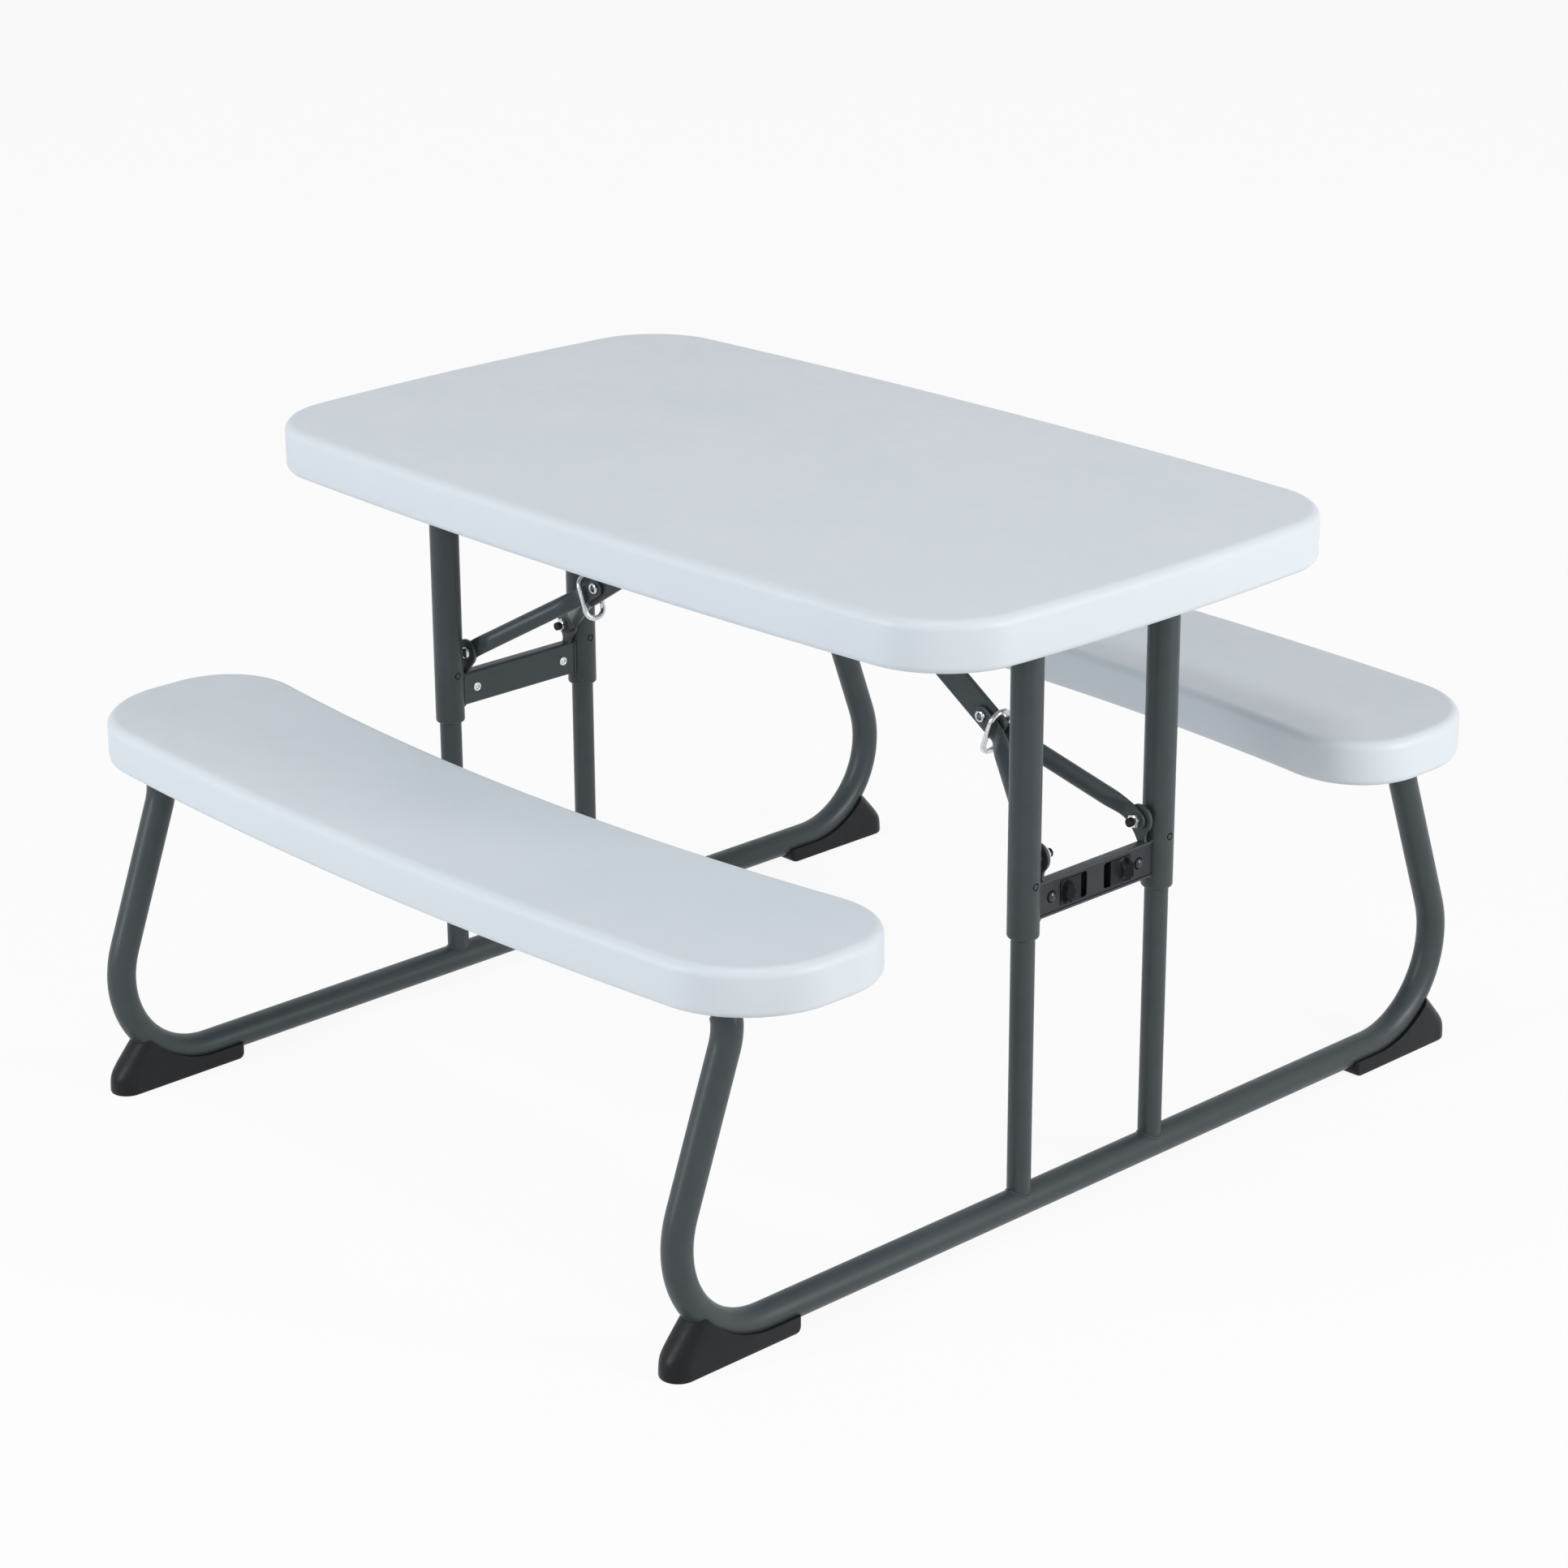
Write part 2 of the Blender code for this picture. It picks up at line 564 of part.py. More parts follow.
def brace_arm():
    """A round arm, pressed flat at the knee and at the leg."""
    half = ARM_PLATE_THICKNESS / 2
    tip = (half, ARM_TIP_HALF_HEIGHT, PRESSED)
    knee_plate = (half, ARM_KNEE_HALF_HEIGHT, PRESSED)
    eye_plate = (half, ARM_EYE_HALF_HEIGHT, PRESSED)
    round_half = (ARM_RADIUS, ARM_RADIUS, ROUND)
    eye_start = ARM_LENGTH - ARM_EYE_LENGTH
    splay = ARM_SHOULDER * (ARM_OUTER_Y - ARM_INNER_Y) / (eye_start - ARM_PLATE_LENGTH)
    knee_end = -ARM_KNEE_HALF_HEIGHT
    eye_end = ARM_LENGTH + ARM_EYE_HALF_HEIGHT
    stations = [(knee_end, ARM_INNER_Y, tip),
                (knee_end + ARM_TIP_LENGTH, ARM_INNER_Y, knee_plate),
                (ARM_PLATE_LENGTH, ARM_INNER_Y, knee_plate),
                (ARM_PLATE_LENGTH + ARM_SHOULDER, ARM_INNER_Y + splay, round_half),
                (eye_start - ARM_SHOULDER, ARM_OUTER_Y - splay, round_half),
                (eye_start, ARM_OUTER_Y, eye_plate),
                (eye_end - ARM_TIP_LENGTH, ARM_OUTER_Y, eye_plate),
                (eye_end, ARM_OUTER_Y, tip)]
    rings = []
    for along, y, halves in stations:
        centre = KNEE + BRACE_DIRECTION * along + ALONG_Y * y
        rings.append(section(centre, ALONG_Y, BRACE_NORMAL, *halves, SMALL_SIDES))
    eye = rod_along_y(BRACE_PIN, BRACE_PIN_RADIUS + FIT_GAP, 0, LEG_Y)
    return combine(combine(loft(rings), eye, "DIFFERENCE"), knee_hole(), "DIFFERENCE")


def brace_bolt():
    """The bolt's head and its length in the crossbar ear, up to the joint where the brace is opened."""
    head = EAR_Y + FIT_GAP
    stations = [(EAR_Y - EAR_THICKNESS, BRACE_PIN_RADIUS), (head, BRACE_PIN_RADIUS),
                (head, BOLT_HEAD_RADIUS), (head + BOLT_HEAD - FIT_GAP, BOLT_HEAD_RIM)]
    return turned(Vector((BRACE_PIN.x, 0, BRACE_PIN.z)), ALONG_Y, stations, BOLT_SIDES)


def brace_nut():
    """The bolt's length in the flattened arm and its threaded end, with the nut on the inside."""
    outer = ARM_OUTER_Y + ARM_PLATE_THICKNESS / 2
    nut = ARM_OUTER_Y - ARM_PLATE_THICKNESS / 2 - FIT_GAP
    inner = nut - NUT_HEIGHT
    stations = [(inner - BOLT_END, BOLT_TIP_RADIUS), (inner, BRACE_PIN_RADIUS),
                (inner, NUT_RADIUS), (nut, NUT_RADIUS),
                (nut, BRACE_PIN_RADIUS), (outer, BRACE_PIN_RADIUS)]
    return turned(Vector((BRACE_PIN.x, 0, BRACE_PIN.z)), ALONG_Y, stations, BOLT_SIDES)


def knee_rivet():
    """A rivet through the link and both arms."""
    start = ARM_INNER_Y + ARM_PLATE_THICKNESS / 2 + FIT_GAP
    half = [(start, RIVET_SHANK_RADIUS), (start, RIVET_RADIUS), (start + RIVET_HEAD / 2, RIVET_RADIUS),
            (start + RIVET_HEAD, RIVET_CROWN_RADIUS)]
    other = [(-y, radius) for y, radius in reversed(half)]
    return turned(Vector((KNEE.x, 0, KNEE.z)), ALONG_Y, other + half, SMALL_SIDES)


def lock_ring():
    """A closed wire ring that hangs on the link and holds the two flattened arm ends to it."""
    lean = math.radians(RING_LEAN)
    down = BRACE_DIRECTION * math.sin(lean) - BRACE_NORMAL * math.cos(lean)
    seat = BRACE_NORMAL * (LINK_HALF_HEIGHT + FIT_GAP + RING_WIRE_RADIUS)
    top = KNEE + BRACE_DIRECTION * RING_OFFSET + seat
    bottom = top + down * RING_HEIGHT
    wide = ALONG_Y * RING_HALF_WIDTH
    corners = [bottom - wide, top - wide, top + wide, bottom + wide, bottom - wide, top - wide]
    loop = bent_path(corners, [RING_CORNER] * 4, 4)[1:-1]
    wire = (RING_WIRE_RADIUS, RING_WIRE_RADIUS, ROUND)
    return sweep(loop, down.cross(ALONG_Y), [wire] * len(loop), WIRE_SIDES, closed=True)


def bench_bracket(open_slot):
    """A forked bracket under a bench. An open slot lets the bolt slide out towards the table's middle."""
    middle = Vector((HINGE_X, PIVOT_Y, PIVOT_Z))
    half = BRACKET_LENGTH / 2
    hole = PIVOT_BOLT_RADIUS + FIT_GAP
    bracket = fork(middle, half, BRACKET_INSIDE, PIVOT_Z - BRACKET_BELOW, BENCH_UNDERSIDE - FIT_GAP)
    bracket = combine(bracket, rod_along_y(middle, hole, 0, PIVOT_Y * 2), "DIFFERENCE")
    if open_slot:
        slot = block((HINGE_X - half * 2, 0, PIVOT_Z - hole), (HINGE_X, PIVOT_Y * 2, PIVOT_Z + hole))
        bracket = combine(bracket, slot, "DIFFERENCE")
    return bracket


def bench_bolt():
    reach = BRACKET_INSIDE + BRACKET_THICKNESS + FIT_GAP
    stations = [(-reach - PIVOT_HEAD_HEIGHT, PIVOT_HEAD_RIM), (-reach, PIVOT_HEAD_RADIUS),
                (-reach, PIVOT_BOLT_RADIUS), (reach, PIVOT_BOLT_RADIUS),
                (reach, PIVOT_HEAD_RADIUS), (reach + PIVOT_NUT_HEIGHT, PIVOT_HEAD_RADIUS)]
    return turned(Vector((HINGE_X, PIVOT_Y, PIVOT_Z)), ALONG_Y, stations, BOLT_SIDES)


def foot():
    """A wedge under the bend of the base tube, round at its toe and hollowed to sit against the tube."""
    outer = TUBE_CORNER_Y - FOOT_TOE
    inner = outer - FOOT_LENGTH
    half = FOOT_WIDTH / 2
    rings = []
    for setback, z in ((0, 0), (0, FOOT_TOE_RISE), (FOOT_SLOPE, FOOT_RISE)):
        toe = arc((LEG_X, outer - setback - half), half, 0, 180, FOOT_STEPS)
        rings.append([Vector((x, y, z)) for x, y in toe + [(LEG_X - half, inner), (LEG_X + half, inner)]])
    rise = math.atan2(1, TUBE_LEAN)
    bend_y = TUBE_CORNER_Y - TUBE_BEND / math.tan(rise / 2)
    bend_z = RUN_Z + TUBE_BEND
    above = arc((bend_y, bend_z), TUBE_BEND + FOOT_HUG, -90, 0, FOOT_STEPS * 2)
    above = [(inner - half, RUN_Z - FOOT_HUG)] + above + [(inner - half, bend_z)]
    cutter = [[Vector((LEG_X + x, y, z)) for y, z in above] for x in (-FOOT_WIDTH, FOOT_WIDTH)]
    wedge = combine(loft(rings), loft(cutter), "DIFFERENCE")
    return combine(wedge, tube_shape(FIT_GAP), "DIFFERENCE")


def base_tube():
    tube = tube_shape()
    hole = rod_along_y((HINGE_X, 0, PIVOT_Z), PIVOT_BOLT_RADIUS + FIT_GAP,
                       PIVOT_Y - TAB_THICKNESS, PIVOT_Y + TAB_THICKNESS)
    for side in SIDES.values():
        tube = combine(tube, place(hole, 1, side), "DIFFERENCE")
    return tube


def hinge_tube():
    return rod_along_y((HINGE_X, 0, HINGE_Z), HINGE_RADIUS, -HINGE_REACH, HINGE_REACH, HINGE_SIDES)


add_piece("tabletop", moulded_slab(tabletop_outline(), TABLE_HEIGHT, TABLE_RIM, TABLE_PANEL), WHITE)
bench = moulded_slab(bench_outline(), BENCH_HEIGHT, BENCH_RIM, BENCH_PANEL)
for side_name, side in SIDES.items():
    add_piece("bench_" + side_name, place(bench, 1, side), WHITE, (HINGE_X, PIVOT_Y * side, PIVOT_Z))

for end_name, end in ENDS.items():
    hinge = (HINGE_X * end, 0, HINGE_Z)
    pivot = (HINGE_X * end, 0, PIVOT_Z)
    anchor = (BRACE_ANCHOR.x * end, 0, BRACE_ANCHOR.z)
    knee = (KNEE.x * end, 0, KNEE.z)
    add_piece("hinge_tube_" + end_name, place(hinge_tube(), end), GREY, hinge)
    add_piece("crossbar_" + end_name, place(crossbar(), end), GREY, hinge)
    add_piece("latch_housing_" + end_name, place(latch_housing(), end), CHARCOAL, hinge)
    add_piece("base_tube_" + end_name, place(base_tube(), end), GREY, pivot)
    add_piece("brace_anchor_" + end_name, place(brace_anchor(), end), GREY)
    add_piece("brace_link_" + end_name, place(brace_link(), end), GREY, anchor)
    add_piece("knee_rivet_" + end_name, place(knee_rivet(), end), ZINC, knee)
    add_piece("lock_ring_" + end_name, place(lock_ring(), end), ZINC, anchor)
    for side_name, side in SIDES.items():
        spot = end_name + "_" + side_name
        bench_pivot = (HINGE_X, PIVOT_Y * side, PIVOT_Z)
        add_piece("hinge_saddle_" + spot, place(hinge_saddle(), end, side), GREY)
        add_piece("upper_leg_" + spot, place(upper_leg(), end, side), GREY, hinge)
        add_piece("lower_leg_" + spot, place(lower_leg(), end, side), GREY, pivot)
        add_piece("foot_" + spot, place(foot(), end, side), BLACK, pivot)
        add_piece("latch_grip_" + spot, place(latch_grip(), end, side), BLACK, hinge)
        add_piece("brace_arm_" + spot, place(brace_arm(), end, side), GREY, knee)
        add_piece("brace_nut_" + spot, place(brace_nut(), end, side), ZINC, knee)
        add_piece("brace_bolt_" + spot, place(brace_bolt(), end, side), ZINC, hinge)
        add_piece("bench_bracket_" + spot, place(bench_bracket(end < 0), end, side), GREY, bench_pivot)
        add_piece("bench_bolt_" + spot, place(bench_bolt(), end, side), ZINC, pivot)
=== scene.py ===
"""Looks of a folding picnic table for children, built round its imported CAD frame."""
import json
import math

import bmesh
import bpy
from mathutils import Matrix, Vector


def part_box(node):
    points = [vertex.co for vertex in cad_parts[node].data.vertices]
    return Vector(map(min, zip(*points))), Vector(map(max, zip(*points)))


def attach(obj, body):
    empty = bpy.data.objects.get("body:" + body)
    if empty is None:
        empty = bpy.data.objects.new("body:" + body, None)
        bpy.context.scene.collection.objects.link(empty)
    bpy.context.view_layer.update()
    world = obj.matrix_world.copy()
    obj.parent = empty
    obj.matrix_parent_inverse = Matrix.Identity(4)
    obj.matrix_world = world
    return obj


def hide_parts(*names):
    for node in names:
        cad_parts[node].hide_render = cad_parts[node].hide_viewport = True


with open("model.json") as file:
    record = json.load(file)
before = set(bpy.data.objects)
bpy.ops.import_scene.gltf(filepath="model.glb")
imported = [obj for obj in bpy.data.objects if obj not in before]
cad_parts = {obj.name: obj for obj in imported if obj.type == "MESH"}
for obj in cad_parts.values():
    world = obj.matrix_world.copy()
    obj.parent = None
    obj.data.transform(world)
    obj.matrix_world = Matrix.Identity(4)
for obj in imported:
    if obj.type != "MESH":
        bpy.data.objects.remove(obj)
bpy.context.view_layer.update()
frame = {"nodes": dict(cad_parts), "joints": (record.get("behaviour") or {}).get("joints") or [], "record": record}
RECORD = frame["record"]
BODY_OF = {node: body for body, nodes in RECORD["behaviour"]["bodies"].items() for node in nodes}
SLOT_OF = {part["node"]: part["material_slot"] for part in RECORD["subparts"]}


def joint_place(name):
    """Where a joint of the frame is."""
    return Vector(next(joint["pos_m"] for joint in frame["joints"] if joint["name"] == name))


def middle(node):
    """The middle of a CAD node's box."""
    low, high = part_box(node)
    return (Vector(low) + Vector(high)) / 2


# Places taken from the frame, all for the front right quarter
HINGE = joint_place("leg_fold_front")
PIVOT = joint_place("bench_turn_right")
KNEE = joint_place("brace_arm_turn_front")
BRACE_ANCHOR = joint_place("brace_link_turn_front")
TABLE_LOW, TABLE_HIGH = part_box("tabletop")
BENCH_LOW, BENCH_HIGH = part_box("bench_right")
SLEEVE_LOW, SLEEVE_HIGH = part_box("upper_leg_front_right")
INNER_LEG_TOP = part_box("lower_leg_front_right")[1][2]
FOOT_LOW, FOOT_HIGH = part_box("foot_front_right")
BAR_LOW, BAR_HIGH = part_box("crossbar_front")
HOUSING_LOW, HOUSING_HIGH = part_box("latch_housing_front")
GRIP_LOW, GRIP_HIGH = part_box("latch_grip_front_right")
BOLT_LOW, BOLT_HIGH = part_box("brace_bolt_front_right")
NUT_LOW, NUT_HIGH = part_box("brace_nut_front_right")
RIVET_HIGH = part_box("knee_rivet_front")[1]
BENCH_BOLT_LOW, BENCH_BOLT_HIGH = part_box("bench_bolt_front_right")
TUBE_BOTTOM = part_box("base_tube_front")[0][2]
HINGE_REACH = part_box("hinge_tube_front")[1][1]
LEG = middle("lower_leg_front_right")
BRACE_PIN = middle("brace_bolt_front_right")
BRACE_PIN.y = 0

# Moulded tabletop and benches
TABLE_CORNER = 0.066
TABLE_END_BOW = 0.0116
TABLE_SIDE_BOW = 0.0147
TABLE_PANEL = 0.024
BENCH_CORNER = 0.0776
BENCH_INNER_BOW = 0.0368
BENCH_OUTER_BOW = 0.0229
BENCH_PANEL = 0.018
TOP_ROUNDING = 0.008
BOTTOM_ROUNDING = 0.006
RIM_WIDTH = 0.018
RIM_DRAFT = 0.004
RIM_EDGE = 0.003
FLAT_MARGIN = 0.003
FLAT_CORE = 0.056
TOP_STEPS = 10
BOTTOM_STEPS = 8
RIM_STEPS = 5
TABLE_OUTLINE_STEPS = (24, 32, 16)
BENCH_OUTLINE_STEPS = (28, 40, 4)

# Tubes
LEG_RADIUS = 0.0127
LEG_BORE = 0.0099
SLEEVE_CAP = 0.003
SLEEVE_ROLL = 0.0022
INNER_LEG_RADIUS = 0.0095
DIMPLE_HEIGHT = 0.044
DIMPLE_RADIUS = 0.0032
DIMPLE_GROOVE = 0.0011
DIMPLE_DEPTH = 0.0018
TUBE_RADIUS = 0.0120
TUBE_BEND = 0.082
TUBE_CORNER_OUT = 0.020
TAB_BEND = 0.014
TURN_BEND = 0.050
TAB_TURN_DROP = 0.024
TAB_HALF_THICKNESS = 0.003
TAB_HALF_WIDTH = 0.0125
TAB_END = 0.010
TAB_FLAT = 0.024
TAB_PRESS = 0.009
TAB_NOSE = 0.98
TUBE_STEP = 0.0025
TUBE_BEND_STEPS = 24
HINGE_RADIUS = 0.0095
HINGE_EDGE = 0.001
WELD_RADIUS = 0.0013
WELD_OUT_SHARE = 0.2
WELD_STEP = 0.0007
LEG_WELD_RADIUS = 0.0009
LEG_WELD_SINK = 0.0002
LEG_WELD_STEPS = 132
WELD_RIPPLE = 0.16
WELD_RIPPLES = 22

# Feet
FOOT_BLOCK = 0.056
FOOT_TOE_RISE = 0.0154
FOOT_TOE_LEAN = 0.906
FOOT_TOE_SOFT = 0.005
FOOT_EDGE = 0.0014
FOOT_EDGE_SHARE = 0.3
FOOT_LEVELS = 24
FOOT_HEEL_ROUND = 0.005
FOOT_CORNER = 0.003
FOOT_HUG = 0.0035
FOOT_GAP = 0.0003
FOOT_TOE_STEPS = 24
FOOT_CORNER_STEPS = 5
FOOT_HUG_STEPS = 40

# Crossbar and latch
SHEET = 0.002
BAR_BEND = 0.0032
BAR_SINK = 0.0022
HOUSING_REACH = 0.0009
HOUSING_CORNER = 0.0008
HOUSING_CORNER_STEPS = 3
WINDOW_CORNER = 0.0025
WINDOW_CORNER_STEPS = 5
BAR_DEPTH = 0.0104
BAR_HEIGHT = 0.030
EAR_OUT = 0.0037
EAR_THICKNESS = 0.003
EAR_FLARE = 42
EAR_NECK = 0.0042
EAR_NECK_RISE = 0.0055
EAR_HEAD_STEPS = 28
EAR_NECK_STEPS = 10
BAR_RIVET_Y = 0.0497
BAR_RIVET_RADIUS = 0.0042
BAR_RIVET_HEAD = 0.0027
BAR_RIVET_DOME = 84
BAR_RIVET_STEPS = 8
BAR_RIVET_GAP = 0.0007
BAR_RIVET_END_RADIUS = 0.004
BAR_RIVET_END_RISE = 0.0011
BAR_RIVET_END_FLOOR = 0.0001
GRIP_TRAVEL = 0.007
GRIP_WIDTH = 0.023
GRIP_BUMP_HALF_WIDTH = 0.0078
GRIP_OVAL = 2.3
GRIP_SLOPE_IN = 0.45
GRIP_SLOPE_OUT = 0.72
GRIP_LIP = 0.0004
GRIP_RIB = 0.0014
GRIP_RIB_PITCH = 0.0031
GRIP_STEPS_ACROSS = 64
GRIP_STEPS_UP = 30
ROD_RADIUS = 0.0024

# Brace
LINK_HALF_HEIGHT = 0.012
LINK_HALF_THICKNESS = 0.002
LINK_OVERRUN = 0.021
LINK_CORNER = 0.005
LINK_END_STEPS = 24
LINK_CORNER_STEPS = 10
ARM_RADIUS = 0.0078
ARM_PLATE = 0.0017
ARM_KNEE_HALF_HEIGHT = 0.0078
ARM_EYE_HALF_HEIGHT = 0.0078
ARM_PLATE_LENGTH = 0.018
ARM_EYE_LENGTH = 0.012
ARM_SHOULDER = 0.020
ARM_STEP = 0.0025
ARM_NOSE = 0.9
ARM_INNER_Y = 0.004
ARM_EAR_GAP = 0.002
RING_WIRE = 0.0023
RING_CORNER = 0.009
RING_HALF_WIDTH = 0.010
RING_OFFSET = 0.011
RING_HEIGHT = 0.0375
RING_LEAN = 13
RING_CORNER_STEPS = 14
NUT_HEIGHT = 0.0045
NUT_RADIUS = 0.0057
BOLT_RADIUS = 0.003
BOLT_HEAD_RADIUS = 0.0054
BOLT_CAP_RADIUS = 0.0036
THREAD_PITCH = 0.0008
THREAD_DEPTH_SHARE = 0.4
BOLT_TIP_SHARE = 0.7
BOLT_DOME = (20, 80)
HEX_CHAMFER = 0.12
HEX_CHAMFER_RISE = 0.6
KNEE_RIVET_RADIUS = 0.0048
KNEE_RIVET_RISE = 0.0022
KNEE_RIVET_HOLLOW = 0.004
RIVET_SHANK_SHARE = 0.62
RIVET_HOLLOW_SHARE = 0.5
# Shares of a rivet end's rise and radius, over its roll
RIVET_ROLL = ((0.5, 1), (0.85, 0.93), (1, 0.8), (0.95, 0.66), (0.7, 0.56))

# Bench bolts
BENCH_BOLT_RADIUS = 0.004
BENCH_BOLT_SEAT = 0.003
# Distances from the bolt's outer end, and radii
BENCH_BOLT_HEAD = ((0, 0.003), (0.0012, 0.0055), (0.003, 0.0066), (0.004, 0.0066))
BENCH_NUT_START = 0.005
BENCH_NUT_STOP = 0.0008
BENCH_NUT_RADIUS = 0.0068

# Fits, edges and how finely curves are drawn
FIT_GAP = 0.0003
EDGE_SOFTNESS = 0.0005
SHARP_ANGLE = 35
TUBE_SIDES = 40
WIRE_SIDES = 14
BOLT_SIDES = 28
SMALL_ARC_STEPS = 6
ROUND = 2
PRESSED = 4

ENDS = {"front": 1, "rear": -1}
SIDES = {"left": -1, "right": 1}
ALONG_X = Vector((1, 0, 0))
ALONG_Y = Vector((0, 1, 0))
UP = Vector((0, 0, 1))

# Places that follow from the frame and the sizes above
RUN_Z = TUBE_BOTTOM + TUBE_RADIUS
BAR_BACK = LEG.x - BAR_DEPTH / 2
BAR_LIP = LEG.x + BAR_DEPTH / 2
BAR_BOTTOM = BAR_LOW[2]
BAR_TOP = BAR_BOTTOM + BAR_HEIGHT
BAR_MIDDLE = BAR_BOTTOM + BAR_HEIGHT / 2
EAR_Y = HOUSING_HIGH[1] - EAR_OUT
ARM_OUTER_Y = EAR_Y - EAR_THICKNESS - ARM_EAR_GAP
BRACE_LINE = (BRACE_PIN - BRACE_ANCHOR).normalized()
BRACE_NORMAL = Vector((-BRACE_LINE.z, 0, BRACE_LINE.x))
ARM_LENGTH = (BRACE_PIN - KNEE).length

# Finishes
NOISE_LOW = 0.3
NOISE_HIGH = 0.7
SPECKLE_DETAIL = 3

# Camera found from the photograph
CAMERA_TARGET = Vector((0, 0, 0.28))
CAMERA_AZIMUTH = 46.5083
CAMERA_ELEVATION = 20.4091
CAMERA_ROLL = -0.2659
CAMERA_DISTANCE = 3.3658
CAMERA_RISE = -0.0249
CAMERA_FOCAL_SHARE = 5000.95 / 1932
SENSOR_WIDTH = 36

# Floor and light
FLOOR_RADIUS = 40
FLOOR_COLOUR = (0.80, 0.80, 0.80)
FLOOR_WHITE_SHARE = 0.92
WORLD_LIGHT = 0.40
WORLD_WHITE = 0.95
FLOOR_SIDES = 96

# Soft lamps: azimuth, elevation, distance, width, height, power, colour
LAMPS = {"key": (108, 17, 4.0, 0.7, 2.2, 88, (1.0, 0.985, 0.96)),
         "fill": (-15, 22, 4.0, 0.8, 2.4, 72, (0.97, 0.985, 1.0)),
         "top": (40, 72, 3.2, 0.5, 0.5, 15, (1.0, 1.0, 1.0))}


class Finish:
    """A procedural material, with short names for the nodes that it is made of."""

    def __init__(self, name, roughness, metallic=0.0, specular=0.5):
        self.material = bpy.data.materials.new(name)
        self.material.use_nodes = True
        self.tree = self.material.node_tree
        self.surface = self.tree.nodes["Principled BSDF"]
        self.surface.inputs["Metallic"].default_value = metallic
        self.surface.inputs["Specular IOR Level"].default_value = specular
        self.place = self.tree.nodes.new("ShaderNodeTexCoord").outputs["Object"]
        self.normal = None
        speckle = self.noise(roughness[2], SPECKLE_DETAIL)
        self.link(self.spread(speckle, roughness[0], roughness[1]), self.surface.inputs["Roughness"])

    def link(self, output, target):
        """Join an output to an input."""
        self.tree.links.new(output, target)

    def noise(self, scale, detail):
        """A soft noise over the piece."""
        node = self.tree.nodes.new("ShaderNodeTexNoise")
        node.inputs["Scale"].default_value = scale
        node.inputs["Detail"].default_value = detail
        self.link(self.place, node.inputs["Vector"])
        return node.outputs["Fac"]

    def cells(self, scale):
        """Small patches, as on zinc."""
        node = self.tree.nodes.new("ShaderNodeTexVoronoi")
        node.inputs["Scale"].default_value = scale
        self.link(self.place, node.inputs["Vector"])
        return node.outputs["Color"]

    def spread(self, value, low, high):
        """A noise stretched between two values."""
        node = self.tree.nodes.new("ShaderNodeMapRange")
        node.inputs["From Min"].default_value = NOISE_LOW
        node.inputs["From Max"].default_value = NOISE_HIGH
        node.inputs["To Min"].default_value = low
        node.inputs["To Max"].default_value = high
        self.link(value, node.inputs["Value"])
        return node.outputs["Result"]

    def colour(self, value, first, second):
        """A base colour between two, as the noise says."""
        node = self.tree.nodes.new("ShaderNodeMix")
        node.data_type = "RGBA"
        node.inputs["A"].default_value = (*first, 1)
        node.inputs["B"].default_value = (*second, 1)
        self.link(self.spread(value, 0, 1), node.inputs["Factor"])
        self.link(node.outputs["Result"], self.surface.inputs["Base Color"])

    def bump(self, value, distance, strength):
        """A fine relief on top of the ones before."""
        node = self.tree.nodes.new("ShaderNodeBump")
        node.inputs["Distance"].default_value = distance
        node.inputs["Strength"].default_value = strength
        self.link(value, node.inputs["Height"])
        if self.normal:
            self.link(self.normal, node.inputs["Normal"])
        self.normal = node.outputs["Normal"]
        self.link(self.normal, self.surface.inputs["Normal"])


def make_finishes():
    """One finish for each slot, and a glossy one for the rivet heads."""
    white = Finish("white moulded plastic", (0.40, 0.52, 60), specular=0.4)
    white.colour(white.noise(9, 4), (0.655, 0.712, 0.765), (0.675, 0.728, 0.780))
    white.bump(white.noise(26, 2), 0.0012, 0.10)
    white.bump(white.noise(1500, 2), 0.00025, 0.12)
    grey = Finish("grey powder coat", (0.34, 0.42, 120), specular=0.30)
    grey.colour(grey.noise(70, 4), (0.041, 0.052, 0.058), (0.046, 0.058, 0.064))
    grey.bump(grey.noise(420, 2), 0.0004, 0.10)
    grey.bump(grey.noise(1700, 2), 0.00015, 0.10)
    black = Finish("black satin plastic", (0.36, 0.48, 160), specular=0.19)
    black.colour(black.noise(60, 3), (0.0075, 0.0085, 0.011), (0.010, 0.011, 0.0135))
    black.bump(black.noise(1300, 3), 0.0003, 0.16)
    charcoal = Finish("charcoal plastic", (0.42, 0.55, 160), specular=0.26)
    charcoal.colour(charcoal.noise(60, 3), (0.023, 0.026, 0.033), (0.028, 0.031, 0.039))
    charcoal.bump(charcoal.noise(1300, 3), 0.0003, 0.14)
    zinc = Finish("zinc plated steel", (0.11, 0.22, 300), metallic=1.0)
    zinc.colour(zinc.cells(420), (0.60, 0.625, 0.66), (0.70, 0.715, 0.735))
    zinc.bump(zinc.noise(700, 3), 0.0002, 0.12)
    gloss = Finish("glossy grey coat", (0.13, 0.20, 200), specular=0.5)
    gloss.colour(gloss.noise(70, 4), (0.026, 0.032, 0.037), (0.031, 0.038, 0.043))
    gloss.bump(gloss.noise(900, 2), 0.0002, 0.08)
    return {"white_plastic": white.material, "grey_coat": grey.material, "black_plastic": black.material,
            "charcoal_plastic": charcoal.material, "zinc_steel": zinc.material, "gloss_coat": gloss.material}


FINISHES = make_finishes()


def smooth_step(low, high, value):
    """From 0 at low to 1 at high, level at both ends."""
    t = min(max((value - low) / (high - low), 0), 1)
    return t * t * (3 - 2 * t)


def mix(first, second, share):
    """A value between two others."""
    return first + (second - first) * share


